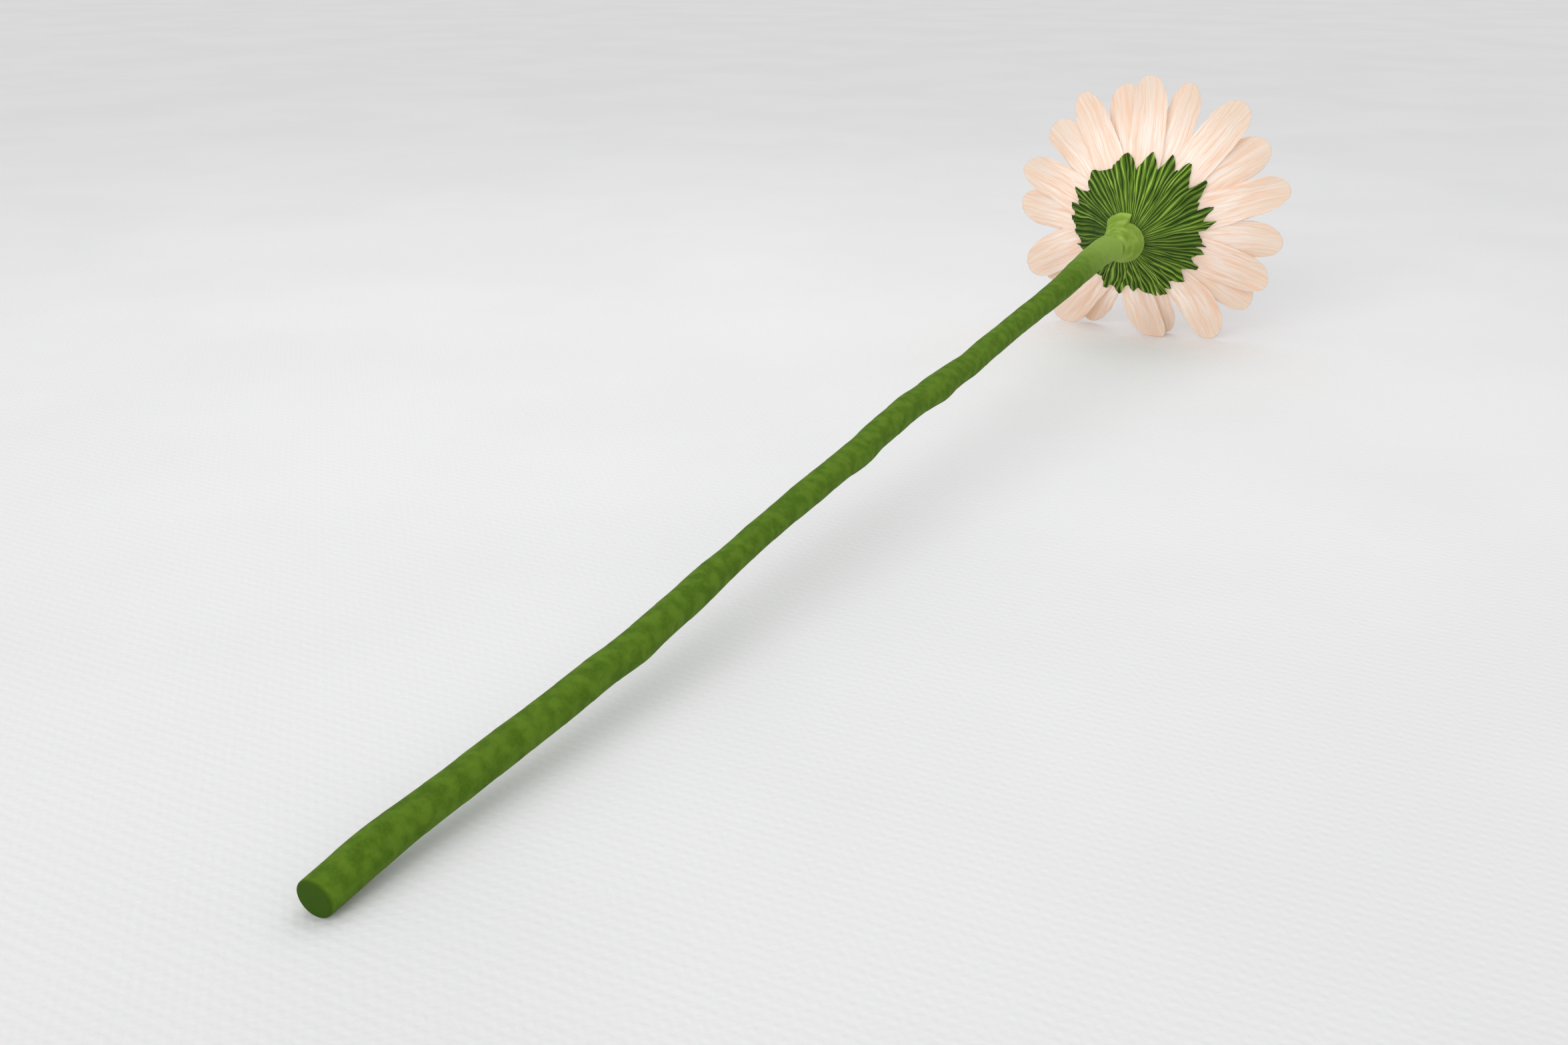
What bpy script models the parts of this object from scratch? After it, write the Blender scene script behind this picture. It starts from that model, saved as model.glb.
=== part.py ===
"""A handmade crepe-paper gerbera lying on its side.

The stem runs along +Y from its cut end, rising a little to the bloom, which faces +Y.
It rests on the stem's cut end and on the tips of its lowest petals.
Lengths in the functions are millimetres until the last step, which writes metres.
"""

import math
import random

import bmesh
import bpy
import numpy as np
from mathutils import Matrix, Vector

MM = 0.001
SEED = 41

# The stem: the cut end is at the start, the head's centre is where the collar sits.
CUT_END = np.array((0.0, -1.0, 3.48))
HEAD_CENTRE = np.array((0.0, 398.2, 42.8))
HEAD_YAW_DEG = -5.8
HEAD_LIFT_DEG = 3.8
STEM_END_ROUNDING = 0.25
STEM_NECK_RADIUS = 4.8
STEM_NECK_REACH = 55.0
STEM_END_ALONG = -1.9
TAPE_WALL = 0.6
CLEARANCE = 0.3
PADDING_BORE_RADIUS = 1.36
WIRE_RADIUS = 1.0
WIRE_TIP_ALONG = 8.0
TUBE_SIDES = 12
WIRE_SIDES = 8
PADDING_SETBACK = 1.0
WIRE_SETBACK = 1.4

# The stem at shares of its length: how far it strays across its straight line, and its radius.
STEM_SHARES = (0.0, 0.04, 0.10, 0.18, 0.27, 0.35, 0.45, 0.55, 0.65, 0.80, 0.84, 0.89, 1.0)
STEM_OFFSETS = (0.0, -0.5, 0.1, 0.6, 0.6, -0.7, -1.1, -1.7, -1.1, -1.0, -1.1, -1.8, -2.0)
STEM_RADII = (3.8, 3.95, 3.75, 3.7, 3.6, 3.35, 3.5, 3.75, 3.55, 3.5, 3.55, 3.65, 3.7)
BEND_DIRECTION = np.array((0.69, 0.07, -0.72))
NECK_STATIONS = (-11.0, -6.5, STEM_END_ALONG)

# The neck, its wire and its collar sit a little to one side of the bloom's axis: right and up.
NECK_SHIFT = (-1.4, 0.3)
STEM_STATION_SHARES = (0.004, 0.04, 0.10, 0.18, 0.27, 0.35, 0.45, 0.55, 0.65, 0.75, 0.83, 0.89, 0.94)

# The flare that calyx and petals share: distance along the head's axis against radius.
FLARE = (-6.942, 1.2798, -0.01054)
ROOT_RADIUS = 4.6
SHEET = 0.6
LAYER_STEP = 1.7

# The petals: the tip's azimuth from straight up, how far it leans round from the root, the
# tip's radius, the tip's distance along the axis, the half widths before and after the middle
# (in the direction of growing azimuth), and the lengths over which each half rounds off.
OUTER_ROW = (
    (-142.8, 0.0, 55.4, 38.0, 7.0, 7.3, 9.0, 9.0),
    (-117.0, -7.0, 50.3, 31.6, 7.0, 7.8, 9.0, 14.0),
    (-72.4, 0.0, 50.4, 31.8, 5.8, 8.0, 13.0, 10.0),
    (-31.4, 0.0, 51.5, 31.6, 6.3, 5.7, 10.0, 15.0),
    (-3.4, -1.5, 51.0, 32.0, 5.8, 6.9, 10.0, 12.0),
    (36.2, 0.0, 53.1, 31.2, 6.7, 7.0, 11.0, 9.5),
    (75.4, 0.0, 51.4, 32.2, 7.0, 6.3, 9.0, 13.0),
    (117.6, 0.0, 49.8, 31.6, 8.3, 5.2, 11.0, 11.0),
    (148.8, 9.0, 52.2, 33.0, 6.6, 6.2, 10.0, 11.0),
    (171.0, -16.0, 46.2, 28.6, 5.4, 7.8, 8.0, 12.0),
)
INNER_ROW = (
    (-153.0, 3.0, 49.8, 41.0, 5.4, 6.6, 11.0, 10.0),
    (-124.0, 0.0, 46.8, 35.2, 6.5, 6.5, 10.0, 10.0),
    (-88.6, 0.0, 49.4, 35.2, 7.3, 6.3, 10.0, 9.0),
    (-49.6, -4.5, 49.2, 34.6, 6.8, 5.8, 4.0, 9.0),
    (-14.4, 0.0, 48.6, 34.8, 6.8, 6.0, 10.0, 10.0),
    (13.0, -4.5, 49.6, 35.4, 5.5, 5.8, 11.0, 11.0),
    (55.0, 0.0, 49.3, 34.4, 7.5, 6.6, 9.0, 9.0),
    (99.5, 0.0, 49.0, 35.0, 7.4, 5.8, 11.0, 10.0),
    (130.0, 0.0, 50.0, 35.4, 7.3, 5.2, 9.0, 9.0),
    (169.0, 0.0, 46.0, 36.0, 5.2, 6.0, 10.0, 10.0),
)
PETAL_ROOT_SHARE = 0.40
PETAL_GROWTH_SHARE = 0.62
PETAL_SPLIT_RADIUS = 8.0
PETAL_TIP_POWER = 2.2
PETAL_TIP_CUT = 0.15
PETAL_SLIT = 0.25
PETAL_COLUMNS = 5
PETAL_STATIONS = (0.14, 0.30, 0.48, 0.64, 0.78, 0.88, 0.95, 1.0)
PETAL_BEND_RADIUS = 24.0
PETAL_EDGE_CURL = 0.7
PETAL_CURL_RATE = 1.6

# The lowest petals are pressed onto the surface they lie on.
PRESS_HEIGHT = 0.3
PRESS_SOFTNESS = 0.35

# The calyx teeth, as azimuth and tip radius.
CALYX_TEETH = (
    (-165.2, 27.7), (-153.5, 27.9), (-142.8, 25.2), (-128.0, 25.6), (-112.0, 24.9), (-99.0, 25.8),
    (-87.2, 25.9), (-77.1, 26.8), (-65.0, 27.7), (-47.1, 26.7), (-32.0, 25.2), (-15.2, 26.1),
    (4.3, 26.0), (20.4, 26.9), (34.5, 27.6), (52.6, 27.6), (72.8, 26.4), (83.6, 26.6),
    (97.0, 25.0), (110.0, 25.2), (124.6, 25.7), (139.9, 26.1), (153.2, 26.0), (165.7, 27.5),
    (-176.8, 25.5),
)
CALYX_TOOTH_DEPTH = 4.2
CALYX_PLEAT = 0.34
CALYX_SHEET = 0.64
CALYX_BAND_RADII = (ROOT_RADIUS, 9.0, 15.0)
CALYX_OUTER_BAND_SHARE = 0.55
CALYX_FULL_PLEAT_RADIUS = 22.6

# The collar of tape.
COLLAR_BORE = STEM_NECK_RADIUS + CLEARANCE
COLLAR_WIDEST = 7.05
COLLAR_SHIFT = (-1.3, -1.3)
COLLAR_SEAT = 0.75
COLLAR_SIDES = 28

# The collar's back and side as distance along the axis, radius, and how far its centre has
# moved from the neck's to its own; then its front, which lies on the calyx.
COLLAR_SIDE = (
    (-10.5, COLLAR_BORE, 0.0),
    (-10.5, 5.7, 0.1),
    (-8.0, 6.3, 0.5),
    (-5.0, 6.85, 0.9),
    (-2.6, COLLAR_WIDEST, 1.0),
)
COLLAR_FRONT = ((COLLAR_WIDEST, 1.0), (6.1, 0.5), (COLLAR_BORE, 0.0))

# The fringe and the rolled centre.
FRINGE_BLADES = 36
FRINGE_SPLIT_RADIUS = 8.6
FRINGE_LAYER = 3 * LAYER_STEP
FRINGE_TIP_RADII = (17.5, 14.5)
FRINGE_TIP_ALONG = (21.0, 23.0)
FRINGE_STATIONS = (0.34, 0.68, 1.0)
FRINGE_SLIT_SHARE = 0.14
FRINGE_TIP_SHARE = 0.5

CENTRE_PROFILE = (
    (-1.5, 0.0),
    (-1.5, 4.0),
    (9.0, 4.0),
    (12.5, 7.6),
    (14.0, 7.0),
    (15.2, 4.0),
    (15.6, 0.0),
)
CENTRE_STEPS = 24
CENTRE_BORE_DEPTH = 8.4
TUFT_COUNT = 56
TUFT_HALF_WIDTH = 0.62
TUFT_TOP_SHARE = 0.7
TUFT_SINK = 2.2
TUFT_RISE = 1.7
TUFT_FIELD_RADIUS = 7.1
TUFT_JITTER = 0.35
GOLDEN_ANGLE = math.pi * (3.0 - math.sqrt(5.0))

TAPE_GREEN = (0.17, 0.31, 0.075)
COLLAR_GREEN = (0.26, 0.44, 0.13)
CALYX_GREEN = (0.075, 0.20, 0.03)
PETAL_PEACH = (0.95, 0.76, 0.64)
FRINGE_PEACH = (0.93, 0.70, 0.52)
CENTRE_YELLOW = (0.55, 0.50, 0.12)
PADDING_WHITE = (0.80, 0.78, 0.72)
WIRE_STEEL = (0.45, 0.45, 0.46)


def clear_scene():
    for old in list(bpy.data.objects):
        bpy.data.objects.remove(old, do_unlink=True)


def make_material(name, color, roughness, metallic=0.0):
    material = bpy.data.materials.new(name)
    material.use_nodes = True
    shader = material.node_tree.nodes["Principled BSDF"]
    shader.inputs["Base Color"].default_value = (*color, 1.0)
    shader.inputs["Roughness"].default_value = roughness
    shader.inputs["Metallic"].default_value = metallic
    return material


def head_axes():
    """The head's own axes as columns: right, along the bloom's axis, and up."""
    yaw = math.radians(HEAD_YAW_DEG)
    lift = math.radians(HEAD_LIFT_DEG)
    along = Vector((math.sin(yaw) * math.cos(lift), math.cos(yaw) * math.cos(lift), math.sin(lift)))
    right = along.cross(Vector((0.0, 0.0, 1.0))).normalized()
    up = right.cross(along)
    return np.array(Matrix((right, along, up)).transposed())


AXES = head_axes()


def flare(radius):
    """Distance along the head's axis at a radius on the back surface of the flower."""
    return FLARE[0] + FLARE[1] * radius + FLARE[2] * radius * radius


def head_point(azimuth, radius, along):
    """A point of the head's own frame from an azimuth in degrees, a radius and a distance along."""
    angle = math.radians(azimuth)
    return (radius * math.sin(angle), along, radius * math.cos(angle))


def to_world(points):
    return np.asarray(points, float) @ AXES.T + HEAD_CENTRE


def neck_point(along):
    """A world point on the neck's own centre line, beside the head's axis."""
    return to_world((NECK_SHIFT[0], along, NECK_SHIFT[1]))


def pressed(points):
    """Bends upward what would go below the surface, so that it lies flat on it."""
    above = (points[:, 2] - PRESS_HEIGHT) / PRESS_SOFTNESS
    out = points.copy()
    out[:, 2] = PRESS_HEIGHT + PRESS_SOFTNESS * np.logaddexp(0.0, above)
    return out


def add_mesh_object(name, points, faces, material, collection):
    """An object from world points in millimetres, with its faces turned outward."""
    mesh = bpy.data.meshes.new(name)
    mesh.from_pydata([tuple(point) for point in np.asarray(points) * MM], [], faces)
    mesh.materials.append(material)
    shell = bmesh.new()
    shell.from_mesh(mesh)
    bmesh.ops.recalc_face_normals(shell, faces=shell.faces)
    shell.to_mesh(mesh)
    shell.free()
    made = bpy.data.objects.new(name, mesh)
    collection.objects.link(made)
    return made


def thicken(sheet, thickness):
    solid = sheet.modifiers.new("thickness", "SOLIDIFY")
    solid.thickness = thickness * MM
    solid.offset = 0.0
    solid.use_rim = True


def triangles_between(lower, upper):
    """Two triangles for each cell between two rows of point numbers."""
    faces = []
    for column in range(len(lower) - 1):
        faces.append((lower[column], lower[column + 1], upper[column + 1]))
        faces.append((lower[column], upper[column + 1], upper[column]))
    return faces


def join_with(target, collection, operation, solver):
    """One Boolean between an object and a collection, applied; the collection's objects go."""
    cut = target.modifiers.new("join", "BOOLEAN")
    cut.operation = operation
    cut.operand_type = "COLLECTION"
    cut.collection = collection
    cut.solver = solver
    graph = bpy.context.evaluated_depsgraph_get()
    result = bpy.data.meshes.new_from_object(target.evaluated_get(graph))
    target.modifiers.remove(cut)
    target.data = result
    for used in list(collection.objects):
        bpy.data.objects.remove(used, do_unlink=True)


def stem_stations(setback, tip_along):
    """Centre points of the stem from near its cut end to a place on the head's axis."""
    run = HEAD_CENTRE - CUT_END
    length = np.linalg.norm(run)
    shares = [setback / length]
    shares += [share for share in STEM_STATION_SHARES if share * length > setback + 1.0]
    offsets = np.interp(shares, STEM_SHARES, STEM_OFFSETS)
    centres = [CUT_END + run * share + BEND_DIRECTION * off for share, off in zip(shares, offsets)]
    neck = [along for along in NECK_STATIONS if along < tip_along - 1.0]
    centres += [neck_point(along) for along in neck + [tip_along]]
    return np.array(centres)


def stem_radii(centres):
    """The stem's radius at each centre: a little lumpy, swelling into the neck."""
    to_head = np.linalg.norm(HEAD_CENTRE - centres, axis=1)
    shares = 1.0 - to_head / np.linalg.norm(HEAD_CENTRE - CUT_END)
    plain = np.interp(shares, STEM_SHARES, STEM_RADII)
    swell = np.exp(-((to_head / STEM_NECK_REACH) ** 2))
    return plain + (STEM_NECK_RADIUS - plain) * swell


def tube_solid(name, centres, radii, sides, material, collection):
    """A capped round rod along a path, by a curve with a bevel, turned into a mesh."""
    curve = bpy.data.curves.new(name, "CURVE")
    curve.dimensions = "3D"
    curve.bevel_depth = MM
    curve.bevel_resolution = sides // 4 - 1
    curve.resolution_u = 1
    curve.use_fill_caps = True
    spline = curve.splines.new("POLY")
    spline.points.add(len(centres) - 1)
    for point, centre, radius in zip(spline.points, centres, radii):
        point.co = (*(centre * MM), 1.0)
        point.radius = radius
    rod = bpy.data.objects.new(name + "_path", curve)
    collection.objects.link(rod)
    bpy.context.view_layer.update()
    graph = bpy.context.evaluated_depsgraph_get()
    mesh = bpy.data.meshes.new_from_object(rod.evaluated_get(graph))
    bpy.data.objects.remove(rod, do_unlink=True)
    shell = bmesh.new()
    shell.from_mesh(mesh)
    bmesh.ops.remove_doubles(shell, verts=shell.verts, dist=0.01 * MM)
    bmesh.ops.recalc_face_normals(shell, faces=shell.faces)
    shell.to_mesh(mesh)
    shell.free()
    mesh.name = name
    mesh.materials.clear()
    mesh.materials.append(material)
    made = bpy.data.objects.new(name, mesh)
    collection.objects.link(made)
    return made


def lay_on_surface(solid):
    """Flattens the little that would go below the surface."""
    for vertex in solid.data.vertices:
        vertex.co.z = max(vertex.co.z, 0.0)


def build_stem_tape(parts, cutters, material):
    centres = stem_stations(0.0, STEM_END_ALONG)
    radii = stem_radii(centres)
    radii[0] -= STEM_END_ROUNDING
    tape = tube_solid("stem_tape", centres, radii, TUBE_SIDES, material, parts)
    inside = stem_stations(PADDING_SETBACK - CLEARANCE, STEM_END_ALONG + 2.0)
    bore = [radius - TAPE_WALL for radius in stem_radii(inside)]
    tube_solid("stem_bore", inside, bore, TUBE_SIDES, material, cutters)
    join_with(tape, cutters, "DIFFERENCE", "EXACT")
    lay_on_surface(tape)


def build_stem_padding(parts, cutters, material):
    centres = stem_stations(PADDING_SETBACK, STEM_END_ALONG)
    radii = [radius - TAPE_WALL - CLEARANCE for radius in stem_radii(centres)]
    padding = tube_solid("stem_padding", centres, radii, TUBE_SIDES, material, parts)
    inside = stem_stations(WIRE_SETBACK - CLEARANCE, STEM_END_ALONG + 2.0)
    bore = [PADDING_BORE_RADIUS] * len(inside)
    tube_solid("padding_bore", inside, bore, WIRE_SIDES, material, cutters)
    join_with(padding, cutters, "DIFFERENCE", "EXACT")


def build_stem_wire(parts, material):
    centres = stem_stations(WIRE_SETBACK, WIRE_TIP_ALONG)
    tube_solid("stem_wire", centres, [WIRE_RADIUS] * len(centres), WIRE_SIDES, material, parts)


def collar_point(azimuth, radius, move):
    """Right and up of a point on the collar, whose centre moves from the neck's to its own."""
    x, _, z = head_point(azimuth, radius, 0.0)
    x += NECK_SHIFT[0] + (COLLAR_SHIFT[0] - NECK_SHIFT[0]) * move
    z += NECK_SHIFT[1] + (COLLAR_SHIFT[1] - NECK_SHIFT[1]) * move
    return x, z


def build_collar(parts, material):
    """A ring of wound tape round the neck, a little off its centre, seated on the calyx."""
    points = []
    for step in range(COLLAR_SIDES):
        azimuth = 360.0 * step / COLLAR_SIDES
        for along, radius, move in COLLAR_SIDE:
            x, z = collar_point(azimuth, radius, move)
            points.append((x, along, z))
        for radius, move in COLLAR_FRONT:
            x, z = collar_point(azimuth, radius, move)
            points.append((x, flare(math.hypot(x, z)) - COLLAR_SEAT, z))
    count = len(COLLAR_SIDE) + len(COLLAR_FRONT)
    faces = []
    for step in range(COLLAR_SIDES):
        here = step * count
        there = (step + 1) % COLLAR_SIDES * count
        for k in range(count):
            after = (k + 1) % count
            faces.append((here + k, there + k, there + after, here + after))
    add_mesh_object("collar_tape", to_world(points), faces, material, parts)


def tooth_edge():
    """The calyx's columns: an azimuth and a rim radius for each, four to a tooth."""
    columns = []
    for index, (azimuth, tip) in enumerate(CALYX_TEETH):
        after, next_tip = CALYX_TEETH[(index + 1) % len(CALYX_TEETH)]
        gap = (after - azimuth) % 360.0
        valley = min(tip, next_tip) - CALYX_TOOTH_DEPTH
        columns.append((azimuth, tip))
        columns.append((azimuth + gap * 0.25, (tip + valley) / 2.0))
        columns.append((azimuth + gap * 0.5, valley))
        columns.append((azimuth + gap * 0.75, (next_tip + valley) / 2.0))
    return columns


def build_calyx(parts, material):
    """A pleated green funnel with a toothed rim."""
    columns = tooth_edge()
    points = []
    for index, (azimuth, rim) in enumerate(columns):
        fold = 1.0 if index % 2 == 0 else -1.0
        waist = CALYX_BAND_RADII[-1]
        radii = (*CALYX_BAND_RADII, waist + (rim - waist) * CALYX_OUTER_BAND_SHARE, rim)
        for radius in radii:
            depth = (radius - ROOT_RADIUS) / (CALYX_FULL_PLEAT_RADIUS - ROOT_RADIUS)
            pleat = fold * CALYX_PLEAT * min(1.0, depth)
            points.append(head_point(azimuth, radius, flare(radius) - pleat))
    count = len(CALYX_BAND_RADII) + 2
    faces = []
    for index in range(len(columns)):
        here = [index * count + k for k in range(count)]
        there = [(index + 1) % len(columns) * count + k for k in range(count)]
        faces += triangles_between(here, there)
    calyx = add_mesh_object("calyx", to_world(points), faces, material, parts)
    thicken(calyx, CALYX_SHEET)


def petal_half_width(radius, tip_radius, widest, tip_length):
    """Half a petal's width: slim at the root, full at the shoulder, then a rounded tip."""
    shoulder = tip_radius - tip_length
    if radius <= shoulder:
        share = (radius - PETAL_SPLIT_RADIUS) / (shoulder - PETAL_SPLIT_RADIUS)
        growth = math.sin(min(1.0, share / PETAL_GROWTH_SHARE) * math.pi / 2.0)
        return widest * (PETAL_ROOT_SHARE + (1.0 - PETAL_ROOT_SHARE) * growth)
    share = (radius - shoulder) / tip_length
    return widest * math.sqrt(1.0 - share**PETAL_TIP_POWER)


def petal_along(radius, side, petal, layer, curl):
    """Distance along the axis on a petal; side runs from -1 at one edge to 1 at the other."""
    tip_radius, tip_along = petal[2:4]
    lift = tip_along - flare(tip_radius) - layer
    out = max(0.0, radius - PETAL_BEND_RADIUS) / (tip_radius - PETAL_BEND_RADIUS)
    return flare(radius) + layer + lift * out * out + curl * side * side * min(1.0, PETAL_CURL_RATE * out)


def build_petal_row(name, petals, layer, curl, parts, material):
    """A strip cut into petals and wound round the head: one band with slits between petals."""
    points = []
    faces = []
    bands = (ROOT_RADIUS, (ROOT_RADIUS + PETAL_SPLIT_RADIUS) / 2.0, PETAL_SPLIT_RADIUS)
    edges = []
    for index, petal in enumerate(petals):
        after = petals[(index + 1) % len(petals)]
        edges.append((after[0] - after[1] - petal[0] + petal[1]) % 360.0 / 2.0)
    around = []
    for index, petal in enumerate(petals):
        start = petal[0] - petal[1] - edges[index - 1]
        width = edges[index - 1] + edges[index]
        around += [start + width * k / PETAL_COLUMNS for k in range(PETAL_COLUMNS)]
    rings = []
    for radius in bands:
        start = len(points)
        points += [head_point(azimuth, radius, flare(radius) + layer) for azimuth in around]
        rings.append([start + k for k in range(len(around))] + [start])
    for lower, upper in zip(rings, rings[1:]):
        faces += triangles_between(lower, upper)
    for index, petal in enumerate(petals):
        azimuth, lean, tip_radius = petal[:3]
        width_before, width_after, tip_before, tip_after = petal[4:]
        row = rings[-1][index * PETAL_COLUMNS:(index + 1) * PETAL_COLUMNS + 1]
        for station in PETAL_STATIONS:
            span = tip_radius - PETAL_TIP_CUT - PETAL_SPLIT_RADIUS
            radius = PETAL_SPLIT_RADIUS + span * station
            slit = math.degrees(PETAL_SLIT / radius)
            free = petal_half_width(radius, tip_radius, width_before, tip_before) / radius
            left = min(math.degrees(free), edges[index - 1] - slit)
            free = petal_half_width(radius, tip_radius, width_after, tip_after) / radius
            right = min(math.degrees(free), edges[index] - slit)
            middle = azimuth - lean * (1.0 - station)
            start = len(points)
            for k in range(PETAL_COLUMNS + 1):
                share = k / PETAL_COLUMNS
                along = petal_along(radius, 2.0 * share - 1.0, petal, layer, curl)
                points.append(head_point(middle - left + (left + right) * share, radius, along))
            fresh = [start + k for k in range(PETAL_COLUMNS + 1)]
            faces += triangles_between(row, fresh)
            row = fresh
    petal_row = add_mesh_object(name, pressed(to_world(points)), faces, material, parts)
    thicken(petal_row, SHEET)


def build_fringe(parts, material):
    """A short strip cut into narrow blades, two lengths in turn, wound inside the petals."""
    points = []
    faces = []
    pitch = 360.0 / FRINGE_BLADES
    rings = []
    for radius in (ROOT_RADIUS, FRINGE_SPLIT_RADIUS):
        start = len(points)
        points += [
            head_point(pitch * k, radius, flare(radius) + FRINGE_LAYER) for k in range(FRINGE_BLADES)
        ]
        rings.append([start + k for k in range(FRINGE_BLADES)] + [start])
    faces += triangles_between(*rings)
    foot = flare(FRINGE_SPLIT_RADIUS) + FRINGE_LAYER
    for blade in range(FRINGE_BLADES):
        row = rings[-1][blade:blade + 2]
        reach = FRINGE_TIP_RADII[blade % 2]
        height = FRINGE_TIP_ALONG[blade % 2]
        for station in FRINGE_STATIONS:
            radius = FRINGE_SPLIT_RADIUS + (reach - FRINGE_SPLIT_RADIUS) * station
            along = foot + (height - foot) * math.sin(station * math.pi / 2.0)
            half = pitch / 2.0 * (1.0 - FRINGE_SLIT_SHARE) * FRINGE_SPLIT_RADIUS / radius
            half *= 1.0 - (1.0 - FRINGE_TIP_SHARE) * station**3
            start = len(points)
            middle = pitch * (blade + 0.5)
            points.append(head_point(middle - half, radius, along))
            points.append(head_point(middle + half, radius, along))
            faces += triangles_between(row, [start, start + 1])
            row = [start, start + 1]
    fringe = add_mesh_object("fringe", to_world(points), faces, material, parts)
    thicken(fringe, SHEET)


def centre_core(parts, material):
    """The rolled centre's body, turned from its profile about the head's axis."""
    mesh = bpy.data.meshes.new("centre_core")
    outline = [(radius * MM, 0.0, along * MM) for along, radius in reversed(CENTRE_PROFILE)]
    mesh.from_pydata(outline, [(k, k + 1) for k in range(len(outline) - 1)], [])
    core = bpy.data.objects.new("centre_core", mesh)
    parts.objects.link(core)
    turn = core.modifiers.new("turn", "SCREW")
    turn.steps = CENTRE_STEPS
    turn.render_steps = CENTRE_STEPS
    turn.use_merge_vertices = True
    turn.merge_threshold = 0.00001
    graph = bpy.context.evaluated_depsgraph_get()
    solid = bpy.data.meshes.new_from_object(core.evaluated_get(graph))
    bpy.data.objects.remove(core, do_unlink=True)
    stand = Matrix.Rotation(-math.pi / 2.0, 4, "X")
    place = Matrix.Translation(Vector(HEAD_CENTRE * MM)) @ Matrix(AXES.tolist()).to_4x4() @ stand
    solid.transform(place)
    solid.materials.clear()
    solid.materials.append(material)
    made = bpy.data.objects.new("centre_roll", solid)
    parts.objects.link(made)
    return made


def add_tufts(cutters, material):
    """Short square tufts in a sunflower spiral over the top of the rolled centre."""
    draw = random.Random(SEED)
    alongs = [along for along, radius in CENTRE_PROFILE[3:]]
    radii = [radius for along, radius in CENTRE_PROFILE[3:]]
    for index in range(TUFT_COUNT):
        radius = TUFT_FIELD_RADIUS * math.sqrt((index + 0.5) / TUFT_COUNT)
        angle = index * GOLDEN_ANGLE
        top = float(np.interp(-radius, [-r for r in radii], alongs))
        low = top - TUFT_SINK
        high = top + TUFT_RISE + TUFT_JITTER * draw.uniform(-1.0, 1.0)
        middle = (radius * math.sin(angle), radius * math.cos(angle))
        turn = draw.uniform(0.0, math.pi / 2.0)
        points = []
        for along, half in ((low, TUFT_HALF_WIDTH), (high, TUFT_HALF_WIDTH * TUFT_TOP_SHARE)):
            for corner in range(4):
                spin = turn + corner * math.pi / 2.0
                x = middle[0] + half * math.sqrt(2.0) * math.cos(spin)
                z = middle[1] + half * math.sqrt(2.0) * math.sin(spin)
                points.append((x, along, z))
        faces = [(0, 1, 2, 3), (7, 6, 5, 4)]
        faces += [(k, k + 4, (k + 1) % 4 + 4, (k + 1) % 4) for k in range(4)]
        add_mesh_object("tuft_%02d" % index, to_world(points), faces, material, cutters)


def build_centre_roll(parts, cutters, material):
    roll = centre_core(parts, material)
    add_tufts(cutters, material)
    join_with(roll, cutters, "UNION", "MANIFOLD")
    ends = (CENTRE_PROFILE[0][0] - 1.0, CENTRE_BORE_DEPTH)
    centres = np.array([neck_point(along) for along in ends])
    tube_solid("centre_bore", centres, [PADDING_BORE_RADIUS] * 2, WIRE_SIDES, material, cutters)
    join_with(roll, cutters, "DIFFERENCE", "EXACT")


def centre_on_origin(parts):
    """Puts the middle of the bounding box over the origin, by one empty that holds the parts."""
    bpy.context.view_layer.update()
    graph = bpy.context.evaluated_depsgraph_get()
    corners = []
    for piece in parts.objects:
        solid = piece.evaluated_get(graph)
        corners += [solid.matrix_world @ vertex.co for vertex in solid.data.vertices]
    low = [min(corner[k] for corner in corners) for k in range(3)]
    high = [max(corner[k] for corner in corners) for k in range(3)]
    base = bpy.data.objects.new("gerbera_base", None)
    parts.objects.link(base)
    base.location = (-(low[0] + high[0]) / 2.0, -(low[1] + high[1]) / 2.0, -low[2])
    for piece in parts.objects:
        if piece is not base:
            piece.parent = base


def main():
    clear_scene()
    parts = bpy.data.collections.new("paper_gerbera")
    cutters = bpy.data.collections.new("cutters")
    cutters.hide_render = True
    for collection in (parts, cutters):
        bpy.context.scene.collection.children.link(collection)
    build_stem_tape(parts, cutters, make_material("stem_tape", TAPE_GREEN, 0.9))
    build_stem_padding(parts, cutters, make_material("stem_padding", PADDING_WHITE, 0.9))
    build_stem_wire(parts, make_material("stem_wire", WIRE_STEEL, 0.4, 1.0))
    build_collar(parts, make_material("collar_tape", COLLAR_GREEN, 0.9))
    build_calyx(parts, make_material("calyx", CALYX_GREEN, 0.85))
    petals = make_material("petals", PETAL_PEACH, 0.8)
    build_petal_row("petals_outer", OUTER_ROW, LAYER_STEP, -PETAL_EDGE_CURL, parts, petals)
    build_petal_row("petals_inner", INNER_ROW, 2.0 * LAYER_STEP, PETAL_EDGE_CURL, parts, petals)
    build_fringe(parts, make_material("fringe", FRINGE_PEACH, 0.8))
    build_centre_roll(parts, cutters, make_material("centre_roll", CENTRE_YELLOW, 0.85))
    centre_on_origin(parts)


main()
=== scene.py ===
"""Looks of a handmade crepe-paper gerbera that lies on a pale cloth.

Laid out as an add-on and run as a script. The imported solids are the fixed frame. Every new
piece is a sheet, a tube or a turned form worked out with numpy in millimetres, in the same
places as the solids, and is put into its mesh in metres.
"""

import math

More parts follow.
